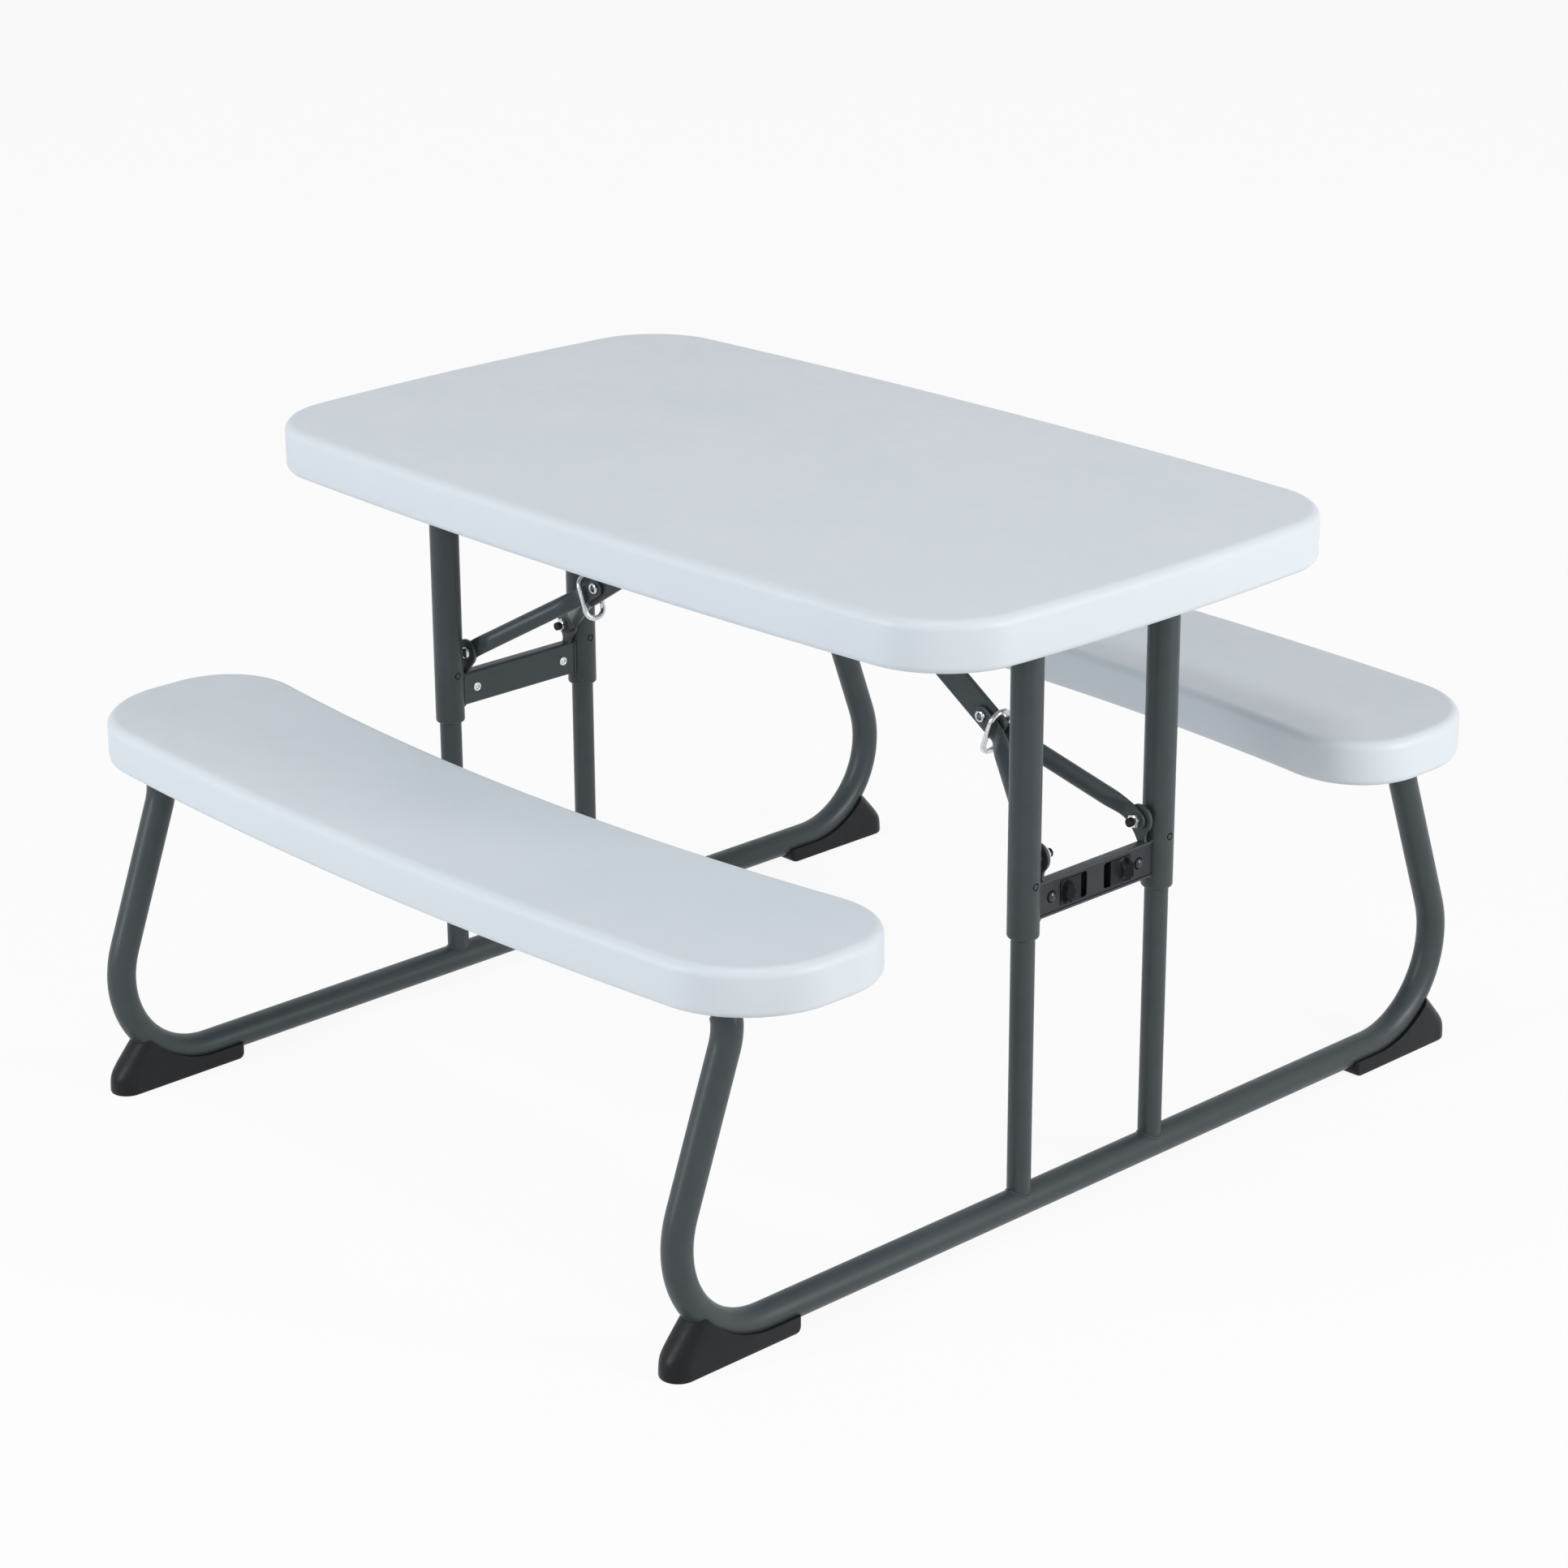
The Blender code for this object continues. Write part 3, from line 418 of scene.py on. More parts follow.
def joined(*shapes):
    """Several shapes as one, each still a shell of its own."""
    points, faces = [], []
    for some_points, some_faces in shapes:
        faces += [tuple(k + len(points) for k in face) for face in some_faces]
        points += some_points
    return points, faces


def placed(shape, end, side=1):
    """A shape drawn for the front right, moved to the given end and side."""
    points, faces = shape
    return [Vector((p[0] * end, p[1] * side, p[2])) for p in points], faces


def build_mesh(name, shape):
    """A mesh of a shape, its faces all turned outwards."""
    points, faces = shape
    mesh = bpy.data.meshes.new(name)
    mesh.from_pydata([tuple(point) for point in points], [], faces)
    work = bmesh.new()
    work.from_mesh(mesh)
    bmesh.ops.recalc_face_normals(work, faces=work.faces)
    work.to_mesh(mesh)
    work.free()
    return mesh


def soften(piece, width):
    """Small rounded edges wherever two faces meet at an angle."""
    step = piece.modifiers.new("soft edges", "BEVEL")
    step.width = width
    step.segments = 2
    step.limit_method = "ANGLE"
    step.angle_limit = math.radians(SHARP_ANGLE)
    step.harden_normals = True


def add_piece(name, shape, node, slot=None, edge=0.0, stands_for=True, finish=None):
    """A piece that rides with a CAD node's body, and stands for that node unless told otherwise."""
    slot = slot or SLOT_OF[node]
    mesh = build_mesh(name, shape)
    mesh.materials.append(FINISHES[finish or slot])
    piece = bpy.data.objects.new(name, mesh)
    bpy.context.scene.collection.objects.link(piece)
    mesh.shade_smooth()
    mesh.set_sharp_from_angle(angle=math.radians(SHARP_ANGLE))
    if edge:
        soften(piece, edge)
    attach(piece, BODY_OF[node])
    if stands_for:
        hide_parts(node)


def keep_node(node, edge):
    """A CAD node that stays in sight, with its finish and soft edges."""
    piece = frame["nodes"][node]
    piece.data.materials.clear()
    piece.data.materials.append(FINISHES[SLOT_OF[node]])
    soften(piece, edge)


def combine(base, tool, operation):
    """Cut one shape from another, or join the two."""
    pair = []
    for shape in (base, tool):
        temporary = bpy.data.objects.new("temporary", build_mesh("temporary", shape))
        bpy.context.scene.collection.objects.link(temporary)
        pair.append(temporary)
    step = pair[0].modifiers.new("step", "BOOLEAN")
    step.operation = operation
    step.solver = "EXACT"
    step.object = pair[1]
    graph = bpy.context.evaluated_depsgraph_get()
    mesh = bpy.data.meshes.new_from_object(pair[0].evaluated_get(graph))
    shape = [p.co.copy() for p in mesh.vertices], [tuple(face.vertices) for face in mesh.polygons]
    for temporary in pair:
        bpy.data.objects.remove(temporary, do_unlink=True)
    return shape


def loft(rings, closed=False):
    """A skin over rings of points, capped at both ends or closed to a loop."""
    count = len(rings[0])
    points = [point for ring in rings for point in ring]
    faces = []
    for step in range(len(rings) if closed else len(rings) - 1):
        here = step * count
        there = (step + 1) % len(rings) * count
        for k in range(count):
            after = (k + 1) % count
            faces.append((here + k, here + after, there + after, there + k))
    if not closed:
        faces.append(tuple(range(count)))
        faces.append(tuple(range(len(points) - count, len(points))))
    return points, faces


def section(centre, across, up, half_across, half_up, power, count):
    """A round, oval or squarish ring of points."""
    ring = []
    for k in range(count):
        angle = 2 * math.pi * (k + 0.5) / count
        c = math.copysign(abs(math.cos(angle)) ** (2 / power), math.cos(angle))
        s = math.copysign(abs(math.sin(angle)) ** (2 / power), math.sin(angle))
        ring.append(centre + across * (half_across * c) + up * (half_up * s))
    return ring


def sweep(path, across, halves, count, closed=False):
    """A tube along a path; halves holds (half across, half up, power) for each point."""
    last = len(path) - 1
    rings = []
    for k, point in enumerate(path):
        if closed:
            heading = path[(k + 1) % len(path)] - path[k - 1]
        else:
            heading = path[min(k + 1, last)] - path[max(k - 1, 0)]
        heading = heading.normalized()
        across = (across - heading * across.dot(heading)).normalized()
        rings.append(section(point, across, heading.cross(across), *halves[k], count))
    return loft(rings, closed)


def turned(centre, axis, stations, count):
    """A turned piece: stations are (distance along the axis, radius)."""
    across = axis.orthogonal().normalized()
    up = axis.cross(across)
    return loft([section(centre + axis * d, across, up, r, r, ROUND, count) for d, r in stations])


def prism_y(outline, start, stop):
    """A flat outline in X and Z, given thickness along Y."""
    return loft([[Vector((x, y, z)) for x, z in outline] for y in (start, stop)])


def prism_x(outline, start, stop):
    """A flat outline in Y and Z, given thickness along X."""
    return loft([[Vector((x, y, z)) for y, z in outline] for x in (start, stop)])


def arc(centre, radius, start, stop, steps):
    """Points of an arc in a plane, angles in degrees."""
    angles = [math.radians(mix(start, stop, k / steps)) for k in range(steps + 1)]
    return [(centre[0] + radius * math.cos(a), centre[1] + radius * math.sin(a)) for a in angles]


def curve_between(start, control, stop, steps):
    """Inner points of a quadratic curve in a plane."""
    points = []
    for k in range(1, steps):
        t = k / steps
        points.append(tuple(mix(mix(a, b, t), mix(b, c, t), t) for a, b, c in zip(start, control, stop)))
    return points


def bent_path(corners, bends, steps):
    """A path through corners, each inner one rounded to its bend radius."""
    path = [corners[0]]
    for before, corner, after, bend in zip(corners, corners[1:], corners[2:], bends):
        back = (before - corner).normalized()
        ahead = (after - corner).normalized()
        half = back.angle(ahead) / 2
        centre = corner + (back + ahead).normalized() * (bend / math.sin(half))
        first = (corner + back * (bend / math.tan(half)) - centre).normalized()
        final = (corner + ahead * (bend / math.tan(half)) - centre).normalized()
        path += [centre + first.slerp(final, k / steps) * bend for k in range(steps + 1)]
    path.append(corners[-1])
    return path


def evenly(path, step):
    """The same path with points at equal distances, and the distance of each from the start."""
    lengths = [(b - a).length for a, b in zip(path, path[1:])]
    total = sum(lengths)
    count = round(total / step)
    points, done, leg = [], 0.0, 0
    for k in range(count + 1):
        wanted = total * k / count
        while leg < len(lengths) - 1 and done + lengths[leg] < wanted:
            done += lengths[leg]
            leg += 1
        points.append(path[leg].lerp(path[leg + 1], (wanted - done) / lengths[leg]))
    return points, [total * k / count for k in range(count + 1)]


def rounded_outline(half_length, half_width, corner, steps, along, across):
    """A rounded rectangle, with extra points on its long and short sides."""
    outline = []
    inner_x = half_length - corner
    inner_y = half_width - corner
    quarters = ((1, 1, 0), (-1, 1, 90), (-1, -1, 180), (1, -1, 270))
    for k, (sx, sy, start) in enumerate(quarters):
        outline += arc((sx * inner_x, sy * inner_y), corner, start, start + 90, steps)
        nx, ny, turn = quarters[(k + 1) % 4]
        first = outline[-1]
        final = arc((nx * inner_x, ny * inner_y), corner, turn, turn, 1)[0]
        extra = along if k % 2 == 0 else across
        for n in range(1, extra):
            outline.append(tuple(mix(a, b, n / extra) for a, b in zip(first, final)))
    return outline


def inset(outline, amount):
    """An outline moved inwards along its normals."""
    count = len(outline)
    moved = []
    for k, (x, y) in enumerate(outline):
        dx = outline[(k + 1) % count][0] - outline[k - 1][0]
        dy = outline[(k + 1) % count][1] - outline[k - 1][1]
        size = math.hypot(dx, dy)
        moved.append((x - dy / size * amount, y + dx / size * amount))
    return moved


def moulded_slab(outline, bottom, top, panel):
    """A moulded slab: soft edges, a rim all round and a recessed underside."""
    ceiling = top - panel
    wall = RIM_WIDTH + RIM_DRAFT
    levels = [(FLAT_CORE, top), (TOP_ROUNDING + FLAT_MARGIN, top)]
    levels += arc((TOP_ROUNDING, top - TOP_ROUNDING), TOP_ROUNDING, 90, 180, TOP_STEPS)
    levels += arc((BOTTOM_ROUNDING, bottom + BOTTOM_ROUNDING), BOTTOM_ROUNDING, 180, 270, BOTTOM_STEPS)
    levels += arc((RIM_WIDTH - RIM_EDGE, bottom + RIM_EDGE), RIM_EDGE, 270, 360, RIM_STEPS)
    levels += arc((wall + RIM_EDGE, ceiling - RIM_EDGE), RIM_EDGE, 180, 90, RIM_STEPS)
    levels += [(wall + RIM_EDGE + FLAT_MARGIN, ceiling), (FLAT_CORE, ceiling)]
    return loft([[Vector((x, y, z)) for x, y in inset(outline, amount)] for amount, z in levels])


def tabletop_outline():
    """A rounded rectangle with bowed sides."""
    half_length = TABLE_HIGH[0] - TABLE_END_BOW
    half_width = TABLE_HIGH[1] - TABLE_SIDE_BOW
    outline = []
    for x, y in rounded_outline(half_length, half_width, TABLE_CORNER, *TABLE_OUTLINE_STEPS):
        grow_x = TABLE_END_BOW * (1 - (y / half_width) ** 2) / half_length
        grow_y = TABLE_SIDE_BOW * (1 - (x / half_length) ** 2) / half_width
        outline.append((x * (1 + grow_x), y * (1 + grow_y)))
    return outline


def bench_outline():
    """A curved bench: hollow towards the table and bowed outwards."""
    half_length = BENCH_HIGH[0]
    width = BENCH_HIGH[1] - BENCH_OUTER_BOW - TABLE_HIGH[1]
    outline = []
    for x, y in rounded_outline(half_length, width / 2, BENCH_CORNER, *BENCH_OUTLINE_STEPS):
        bow = 1 - (x / half_length) ** 2
        inner = TABLE_HIGH[1] + BENCH_INNER_BOW * bow
        outer = TABLE_HIGH[1] + width + BENCH_OUTER_BOW * bow
        outline.append((x, mix(inner, outer, y / width + 0.5)))
    return outline


def upper_leg():
    """A sleeve with a rolled lower end, a hole for the latch rod and a small pressed ring on two sides."""
    centre = Vector((LEG.x, LEG.y, 0))
    bottom, top = SLEEVE_LOW[2], SLEEVE_HIGH[2]
    ceiling = top - SLEEVE_CAP
    stations = [(ceiling, LEG_BORE / 2), (ceiling, LEG_BORE), (bottom + SLEEVE_ROLL / 2, LEG_BORE)]
    middle_of_roll = LEG_RADIUS - SLEEVE_ROLL
    roll = arc((middle_of_roll, bottom + SLEEVE_ROLL), SLEEVE_ROLL, 270, 360, SMALL_ARC_STEPS)
    roll += arc((middle_of_roll, top - SLEEVE_ROLL), SLEEVE_ROLL, 0, 90, SMALL_ARC_STEPS)
    stations += [(z, r) for r, z in roll]
    sleeve = turned(centre, UP, stations, TUBE_SIDES)
    hole = turned(Vector((LEG.x, LEG.y - LEG_RADIUS * 2, BAR_MIDDLE)), ALONG_Y,
                  [(0, ROD_RADIUS + FIT_GAP), (LEG_RADIUS * 2, ROD_RADIUS + FIT_GAP)], WIRE_SIDES)
    sleeve = combine(sleeve, hole, "DIFFERENCE")
    for way in (-1, 1):
        seat = Vector((LEG.x + way * (LEG_RADIUS - DIMPLE_DEPTH), LEG.y, bottom + DIMPLE_HEIGHT))
        groove = turned(seat, ALONG_X * way, [(0, DIMPLE_RADIUS), (LEG_RADIUS, DIMPLE_RADIUS)], BOLT_SIDES)
        core = DIMPLE_RADIUS - DIMPLE_GROOVE
        inside = seat - ALONG_X * way * DIMPLE_DEPTH
        plug = turned(inside, ALONG_X * way, [(0, core), (LEG_RADIUS * 2, core)], BOLT_SIDES)
        sleeve = combine(sleeve, combine(groove, plug, "DIFFERENCE"), "DIFFERENCE")
    return sleeve


def saddle_height(x):
    """Height of the base tube's upper surface at a distance from its middle."""
    return RUN_Z + math.sqrt(TUBE_RADIUS ** 2 - x ** 2)


def lower_leg():
    """An inner leg, its foot cut to the round of the base tube."""
    radius = INNER_LEG_RADIUS
    ring = section(Vector((LEG.x, LEG.y, 0)), ALONG_X, ALONG_Y, radius, radius, ROUND, TUBE_SIDES)
    foot = [Vector((p.x, p.y, saddle_height(p.x - LEG.x))) for p in ring]
    top = [Vector((p.x, p.y, INNER_LEG_TOP)) for p in ring]
    return loft([foot, top])


def bead(path, across, radius, closed):
    """A weld bead with its ripples."""
    halves = []
    for k in range(len(path)):
        ripple = 1 + WELD_RIPPLE * math.sin(2 * math.pi * WELD_RIPPLES * k / len(path))
        halves.append((radius * ripple, radius * ripple, ROUND))
    return sweep(path, across, halves, WIRE_SIDES, closed)


def leg_weld():
    """The bead round the foot of an inner leg, low enough for the sleeve to come down on it."""
    path = []
    for k in range(LEG_WELD_STEPS):
        angle = 2 * math.pi * k / LEG_WELD_STEPS
        x, y = INNER_LEG_RADIUS * math.cos(angle), INNER_LEG_RADIUS * math.sin(angle)
        path.append(Vector((LEG.x + x, LEG.y + y, saddle_height(x) - LEG_WELD_SINK)))
    return bead(path, UP, LEG_WELD_RADIUS, closed=True)


def tube_corners():
    """Where the base tube of one end turns, on its right half."""
    elbow = Vector((LEG.x, PIVOT.y, PIVOT.z))
    turn = Vector((LEG.x, PIVOT.y, PIVOT.z - TAB_TURN_DROP))
    corner = Vector((LEG.x, FOOT_HIGH[1] + TUBE_CORNER_OUT, RUN_Z))
    return [PIVOT, elbow, turn, corner, Vector((LEG.x, 0, RUN_Z))]


def tube_path():
    """The base tube of one end, from the right pivot tab down, across the floor and up to the left."""
    half = bent_path(tube_corners(), (TAB_BEND, TURN_BEND, TUBE_BEND), TUBE_BEND_STEPS)[:-1]
    half.insert(0, half[0] - ALONG_X * TAB_END)
    return half + [Vector((p.x, -p.y, p.z)) for p in reversed(half)]


def tube_shape(grow=0.0):
    """The base tube: round, and pressed flat where the benches are bolted on."""
    path, distances = evenly(tube_path(), TUBE_STEP)
    halves = []
    for distance in distances:
        near = min(distance, distances[-1] - distance)
        share = smooth_step(TAB_FLAT, TAB_FLAT + TAB_PRESS, near)
        nose = math.sqrt(1 - (1 - min(near / TAB_END, 1)) ** 2 * TAB_NOSE)
        halves.append((mix(TAB_HALF_WIDTH * nose, TUBE_RADIUS, share) + grow,
                       mix(TAB_HALF_THICKNESS, TUBE_RADIUS, share) + grow, mix(PRESSED, ROUND, share)))
    return sweep(path, UP, halves, TUBE_SIDES)


def foot_ring(height, trim):
    """The foot's outline at a height: round at the toe, squared at the heel."""
    half = (FOOT_HIGH[0] - FOOT_LOW[0]) / 2 - trim
    over = height - FOOT_TOE_RISE
    toe = FOOT_HIGH[1] - trim - FOOT_TOE_LEAN * (over + math.hypot(over, FOOT_TOE_SOFT)) / 2
    sink = max(FOOT_HEEL_ROUND - height, 0)
    heel = FOOT_LOW[1] + FOOT_HEEL_ROUND - math.sqrt(FOOT_HEEL_ROUND ** 2 - sink ** 2)
    ring = arc((0, toe - half), half, 0, 180, FOOT_TOE_STEPS)
    ring += arc((-half + FOOT_CORNER, heel + FOOT_CORNER), FOOT_CORNER, 180, 270, FOOT_CORNER_STEPS)
    ring += arc((half - FOOT_CORNER, heel + FOOT_CORNER), FOOT_CORNER, 270, 360, FOOT_CORNER_STEPS)
    return [Vector((LEG.x + x, y, height)) for x, y in ring]


def foot():
    """A wedge under the bend of the base tube, round at its toe and hollowed to sit against the tube."""
    levels = [(0, FOOT_EDGE), (FOOT_EDGE * FOOT_EDGE_SHARE, FOOT_EDGE * FOOT_EDGE_SHARE), (FOOT_EDGE, 0)]
    levels += [(mix(FOOT_EDGE, FOOT_BLOCK, k / FOOT_LEVELS), 0) for k in range(1, FOOT_LEVELS + 1)]
    wedge = loft([foot_ring(*level) for level in levels])
    turn, corner = tube_corners()[2:4]
    rise = math.atan2(turn.z - corner.z, corner.y - turn.y)
    centre = (corner.y - TUBE_BEND / math.tan(rise / 2), RUN_Z + TUBE_BEND)
    above = arc(centre, TUBE_BEND + FOOT_HUG, -90, 0, FOOT_HUG_STEPS)
    behind = FOOT_LOW[1] - FOOT_BLOCK
    above = [(behind, RUN_Z - FOOT_HUG)] + above + [(behind, centre[1])]
    wedge = combine(wedge, prism_x(above, LEG.x - FOOT_BLOCK, LEG.x + FOOT_BLOCK), "DIFFERENCE")
    return combine(wedge, tube_shape(FOOT_GAP), "DIFFERENCE")


def crossbar():
    """A channel that opens outwards, with an upright ear near each leg."""
    r = BAR_BEND
    outline = arc((BAR_BACK + r, BAR_BOTTOM + r), r, 180, 270, SMALL_ARC_STEPS)
    outline += [(BAR_LIP, BAR_BOTTOM), (BAR_LIP, BAR_BOTTOM + SHEET)]
    outline += arc((BAR_BACK + r, BAR_BOTTOM + r), r - SHEET, 270, 180, SMALL_ARC_STEPS)
    outline += arc((BAR_BACK + r, BAR_TOP - r), r - SHEET, 180, 90, SMALL_ARC_STEPS)
    outline += [(BAR_LIP, BAR_TOP - SHEET), (BAR_LIP, BAR_TOP)]
    outline += arc((BAR_BACK + r, BAR_TOP - r), r, 90, 180, SMALL_ARC_STEPS)
    reach = HOUSING_HIGH[1] + BAR_SINK
    bar = prism_y(outline, -reach, reach)
    radius = BAR_HIGH[2] - BRACE_PIN.z
    head = arc((BRACE_PIN.x, BRACE_PIN.z), radius, -EAR_FLARE, 180 + EAR_FLARE, EAR_HEAD_STEPS)
    foot_out = (BAR_LIP - SHEET / 2, BAR_TOP - SHEET / 2)
    foot_in = (BAR_BACK + SHEET / 2, BAR_TOP - SHEET / 2)
    neck = BAR_TOP + EAR_NECK_RISE
    rising = curve_between(foot_out, (BRACE_PIN.x + EAR_NECK, neck), head[0], EAR_NECK_STEPS)
    falling = curve_between(head[-1], (BRACE_PIN.x - EAR_NECK, neck), foot_in, EAR_NECK_STEPS)
    ear = [foot_out] + rising + head + falling + [foot_in]
    plates = [placed(prism_y(ear, EAR_Y - EAR_THICKNESS, EAR_Y), 1, side) for side in SIDES.values()]
    return joined(bar, *plates)


def bar_welds():
    """Beads below, behind and above the crossbar's ends, where they meet the legs."""
    y = HOUSING_HIGH[1] + WELD_RADIUS * WELD_OUT_SHARE
    corners = [Vector((x, y, z)) for x, z in ((BAR_LIP, BAR_BOTTOM), (BAR_BACK, BAR_BOTTOM),
                                             (BAR_BACK, BAR_TOP), (BAR_LIP, BAR_TOP))]
    path, _ = evenly(bent_path(corners, [BAR_BEND] * 2, SMALL_ARC_STEPS), WELD_STEP)
    weld = bead(path, ALONG_Y, WELD_RADIUS, closed=False)
    return joined(*[placed(weld, 1, side) for side in SIDES.values()])


def bar_rivet_heads():
    """The domed outer heads of the two rivets that hold the latch housing."""
    shapes = []
    for side in SIDES.values():
        seat = Vector((HOUSING_HIGH[0], BAR_RIVET_Y * side, BAR_MIDDLE))
        stations = [(BAR_BACK + SHEET - HOUSING_HIGH[0], BAR_RIVET_RADIUS), (0, BAR_RIVET_RADIUS)]
        for k in range(1, BAR_RIVET_STEPS + 1):
            angle = math.radians(BAR_RIVET_DOME * k / BAR_RIVET_STEPS)
            stations.append((BAR_RIVET_HEAD * math.sin(angle), BAR_RIVET_RADIUS * math.cos(angle)))
        shapes.append(turned(seat, ALONG_X, stations, TUBE_SIDES))
    return joined(*shapes)


def rolled_end(radius, rise, floor):
    """The profile of a hollow rivet's rolled end, from its shank round to the floor of its hollow."""
    shares = [(0, RIVET_SHANK_SHARE), (0, 1), *RIVET_ROLL]
    return [(rise * d, radius * r) for d, r in shares] + [(floor, radius * RIVET_HOLLOW_SHARE)]


def bar_rivet_ends():
    """The hollow inner ends of the same two rivets."""
    seats = [Vector((BAR_BACK, BAR_RIVET_Y * side, BAR_MIDDLE)) for side in SIDES.values()]
    profile = rolled_end(BAR_RIVET_END_RADIUS, BAR_RIVET_END_RISE, BAR_RIVET_END_FLOOR)
    return joined(*[turned(seat, -ALONG_X, profile, TUBE_SIDES) for seat in seats])


def grip_outer():
    """How far out the finger grip reaches; the rest of its node is the rod."""
    return GRIP_LOW[1] + GRIP_WIDTH


def latch_housing():
    """A plate that closes the crossbar's open side and guides the grips."""
    outline = rounded_outline(HOUSING_HIGH[1] + HOUSING_REACH, (HOUSING_HIGH[2] - HOUSING_LOW[2]) / 2,
                              HOUSING_CORNER, HOUSING_CORNER_STEPS, 1, 1)
    plate = prism_x([(y, z + BAR_MIDDLE) for y, z in outline], HOUSING_LOW[0], HOUSING_HIGH[0])
    half_height = (GRIP_HIGH[2] - GRIP_LOW[2]) / 2 + FIT_GAP
    inner = GRIP_LOW[1] - GRIP_TRAVEL - FIT_GAP
    outer = grip_outer() + FIT_GAP
    for side in SIDES.values():
        window = rounded_outline((outer - inner) / 2, half_height, WINDOW_CORNER, WINDOW_CORNER_STEPS, 1, 1)
        window = [(y + (inner + outer) / 2, z + BAR_MIDDLE) for y, z in window]
        tool = placed(prism_x(window, HOUSING_LOW[0] - SHEET, HOUSING_HIGH[0] + SHEET), 1, side)
        plate = combine(plate, tool, "DIFFERENCE")
        seat = Vector((HOUSING_LOW[0] - SHEET, BAR_RIVET_Y * side, BAR_MIDDLE))
        hole = [(0, BAR_RIVET_RADIUS + BAR_RIVET_GAP), (SHEET * 4, BAR_RIVET_RADIUS + BAR_RIVET_GAP)]
        plate = combine(plate, turned(seat, ALONG_X, hole, TUBE_SIDES), "DIFFERENCE")
    return plate


def grip_face(y, z):
    """How far the grip's face reaches out at a place on it: a ribbed oval bump beside a smooth strip."""
    across = (y - grip_outer() + GRIP_BUMP_HALF_WIDTH) / GRIP_BUMP_HALF_WIDTH
    up = z / (GRIP_HIGH[2] - GRIP_LOW[2]) * 2
    reach = (abs(across) ** GRIP_OVAL + abs(up) ** GRIP_OVAL) ** (1 / GRIP_OVAL)
    bump = 1 - smooth_step(GRIP_SLOPE_IN if across < 0 else GRIP_SLOPE_OUT, 1, reach)
    rib = 0.5 + 0.5 * math.cos(2 * math.pi * across * GRIP_BUMP_HALF_WIDTH / GRIP_RIB_PITCH)
    low = HOUSING_HIGH[0] + GRIP_LIP
    return mix(low, GRIP_HIGH[0], bump) - GRIP_RIB * rib * bump


def latch_grip():
    """A finger grip with the rod that it draws out of the leg."""
    inner, outer = GRIP_LOW[1], grip_outer()
    half = (GRIP_HIGH[2] - GRIP_LOW[2]) / 2
    rings = []
    for k in range(GRIP_STEPS_ACROSS + 1):
        y = mix(inner, outer, k / GRIP_STEPS_ACROSS)
        heights = [mix(-half, half, n / GRIP_STEPS_UP) for n in range(GRIP_STEPS_UP + 1)]
        ring = [(GRIP_LOW[0], -half)] + [(grip_face(y, z), z) for z in heights] + [(GRIP_LOW[0], half)]
        rings.append([Vector((x, y, BAR_MIDDLE + z)) for x, z in ring])
    rod = turned(Vector((LEG.x, 0, BAR_MIDDLE)), ALONG_Y,
                 [(inner + GRIP_RIB_PITCH, ROD_RADIUS), (GRIP_HIGH[1], ROD_RADIUS)], WIRE_SIDES)
    return joined(loft(rings), rod)


def knee_hole():
    """What the knee's rivet takes out of the link and the arms."""
    radius = KNEE_RIVET_RADIUS * RIVET_SHANK_SHARE + FIT_GAP
    return turned(KNEE, ALONG_Y, [(-LINK_HALF_HEIGHT, radius), (LINK_HALF_HEIGHT, radius)], TUBE_SIDES)


def brace_link():
    """A flat bar with a half-round end at its anchor and two rounded corners past the knee."""
    tilt = math.degrees(math.atan2(BRACE_LINE.z, BRACE_LINE.x))
    outline = arc((BRACE_ANCHOR.x, BRACE_ANCHOR.z), LINK_HALF_HEIGHT, tilt + 90, tilt + 270, LINK_END_STEPS)
    for way in (-1, 1):
        up = (LINK_HALF_HEIGHT - LINK_CORNER) * way
        corner = KNEE + BRACE_LINE * (LINK_OVERRUN - LINK_CORNER) + BRACE_NORMAL * up
        turn = tilt + 45 * way
        outline += arc((corner.x, corner.z), LINK_CORNER, turn - 45, turn + 45, LINK_CORNER_STEPS)
    bar = prism_y(outline, -LINK_HALF_THICKNESS, LINK_HALF_THICKNESS)
    return combine(bar, knee_hole(), "DIFFERENCE")


def through(stations, along):
    """Values between stations of (distance, value)."""
    for (a, first), (b, second) in zip(stations, stations[1:]):
        if along <= b:
            return mix(first, second, (along - a) / (b - a))
    return stations[-1][1]


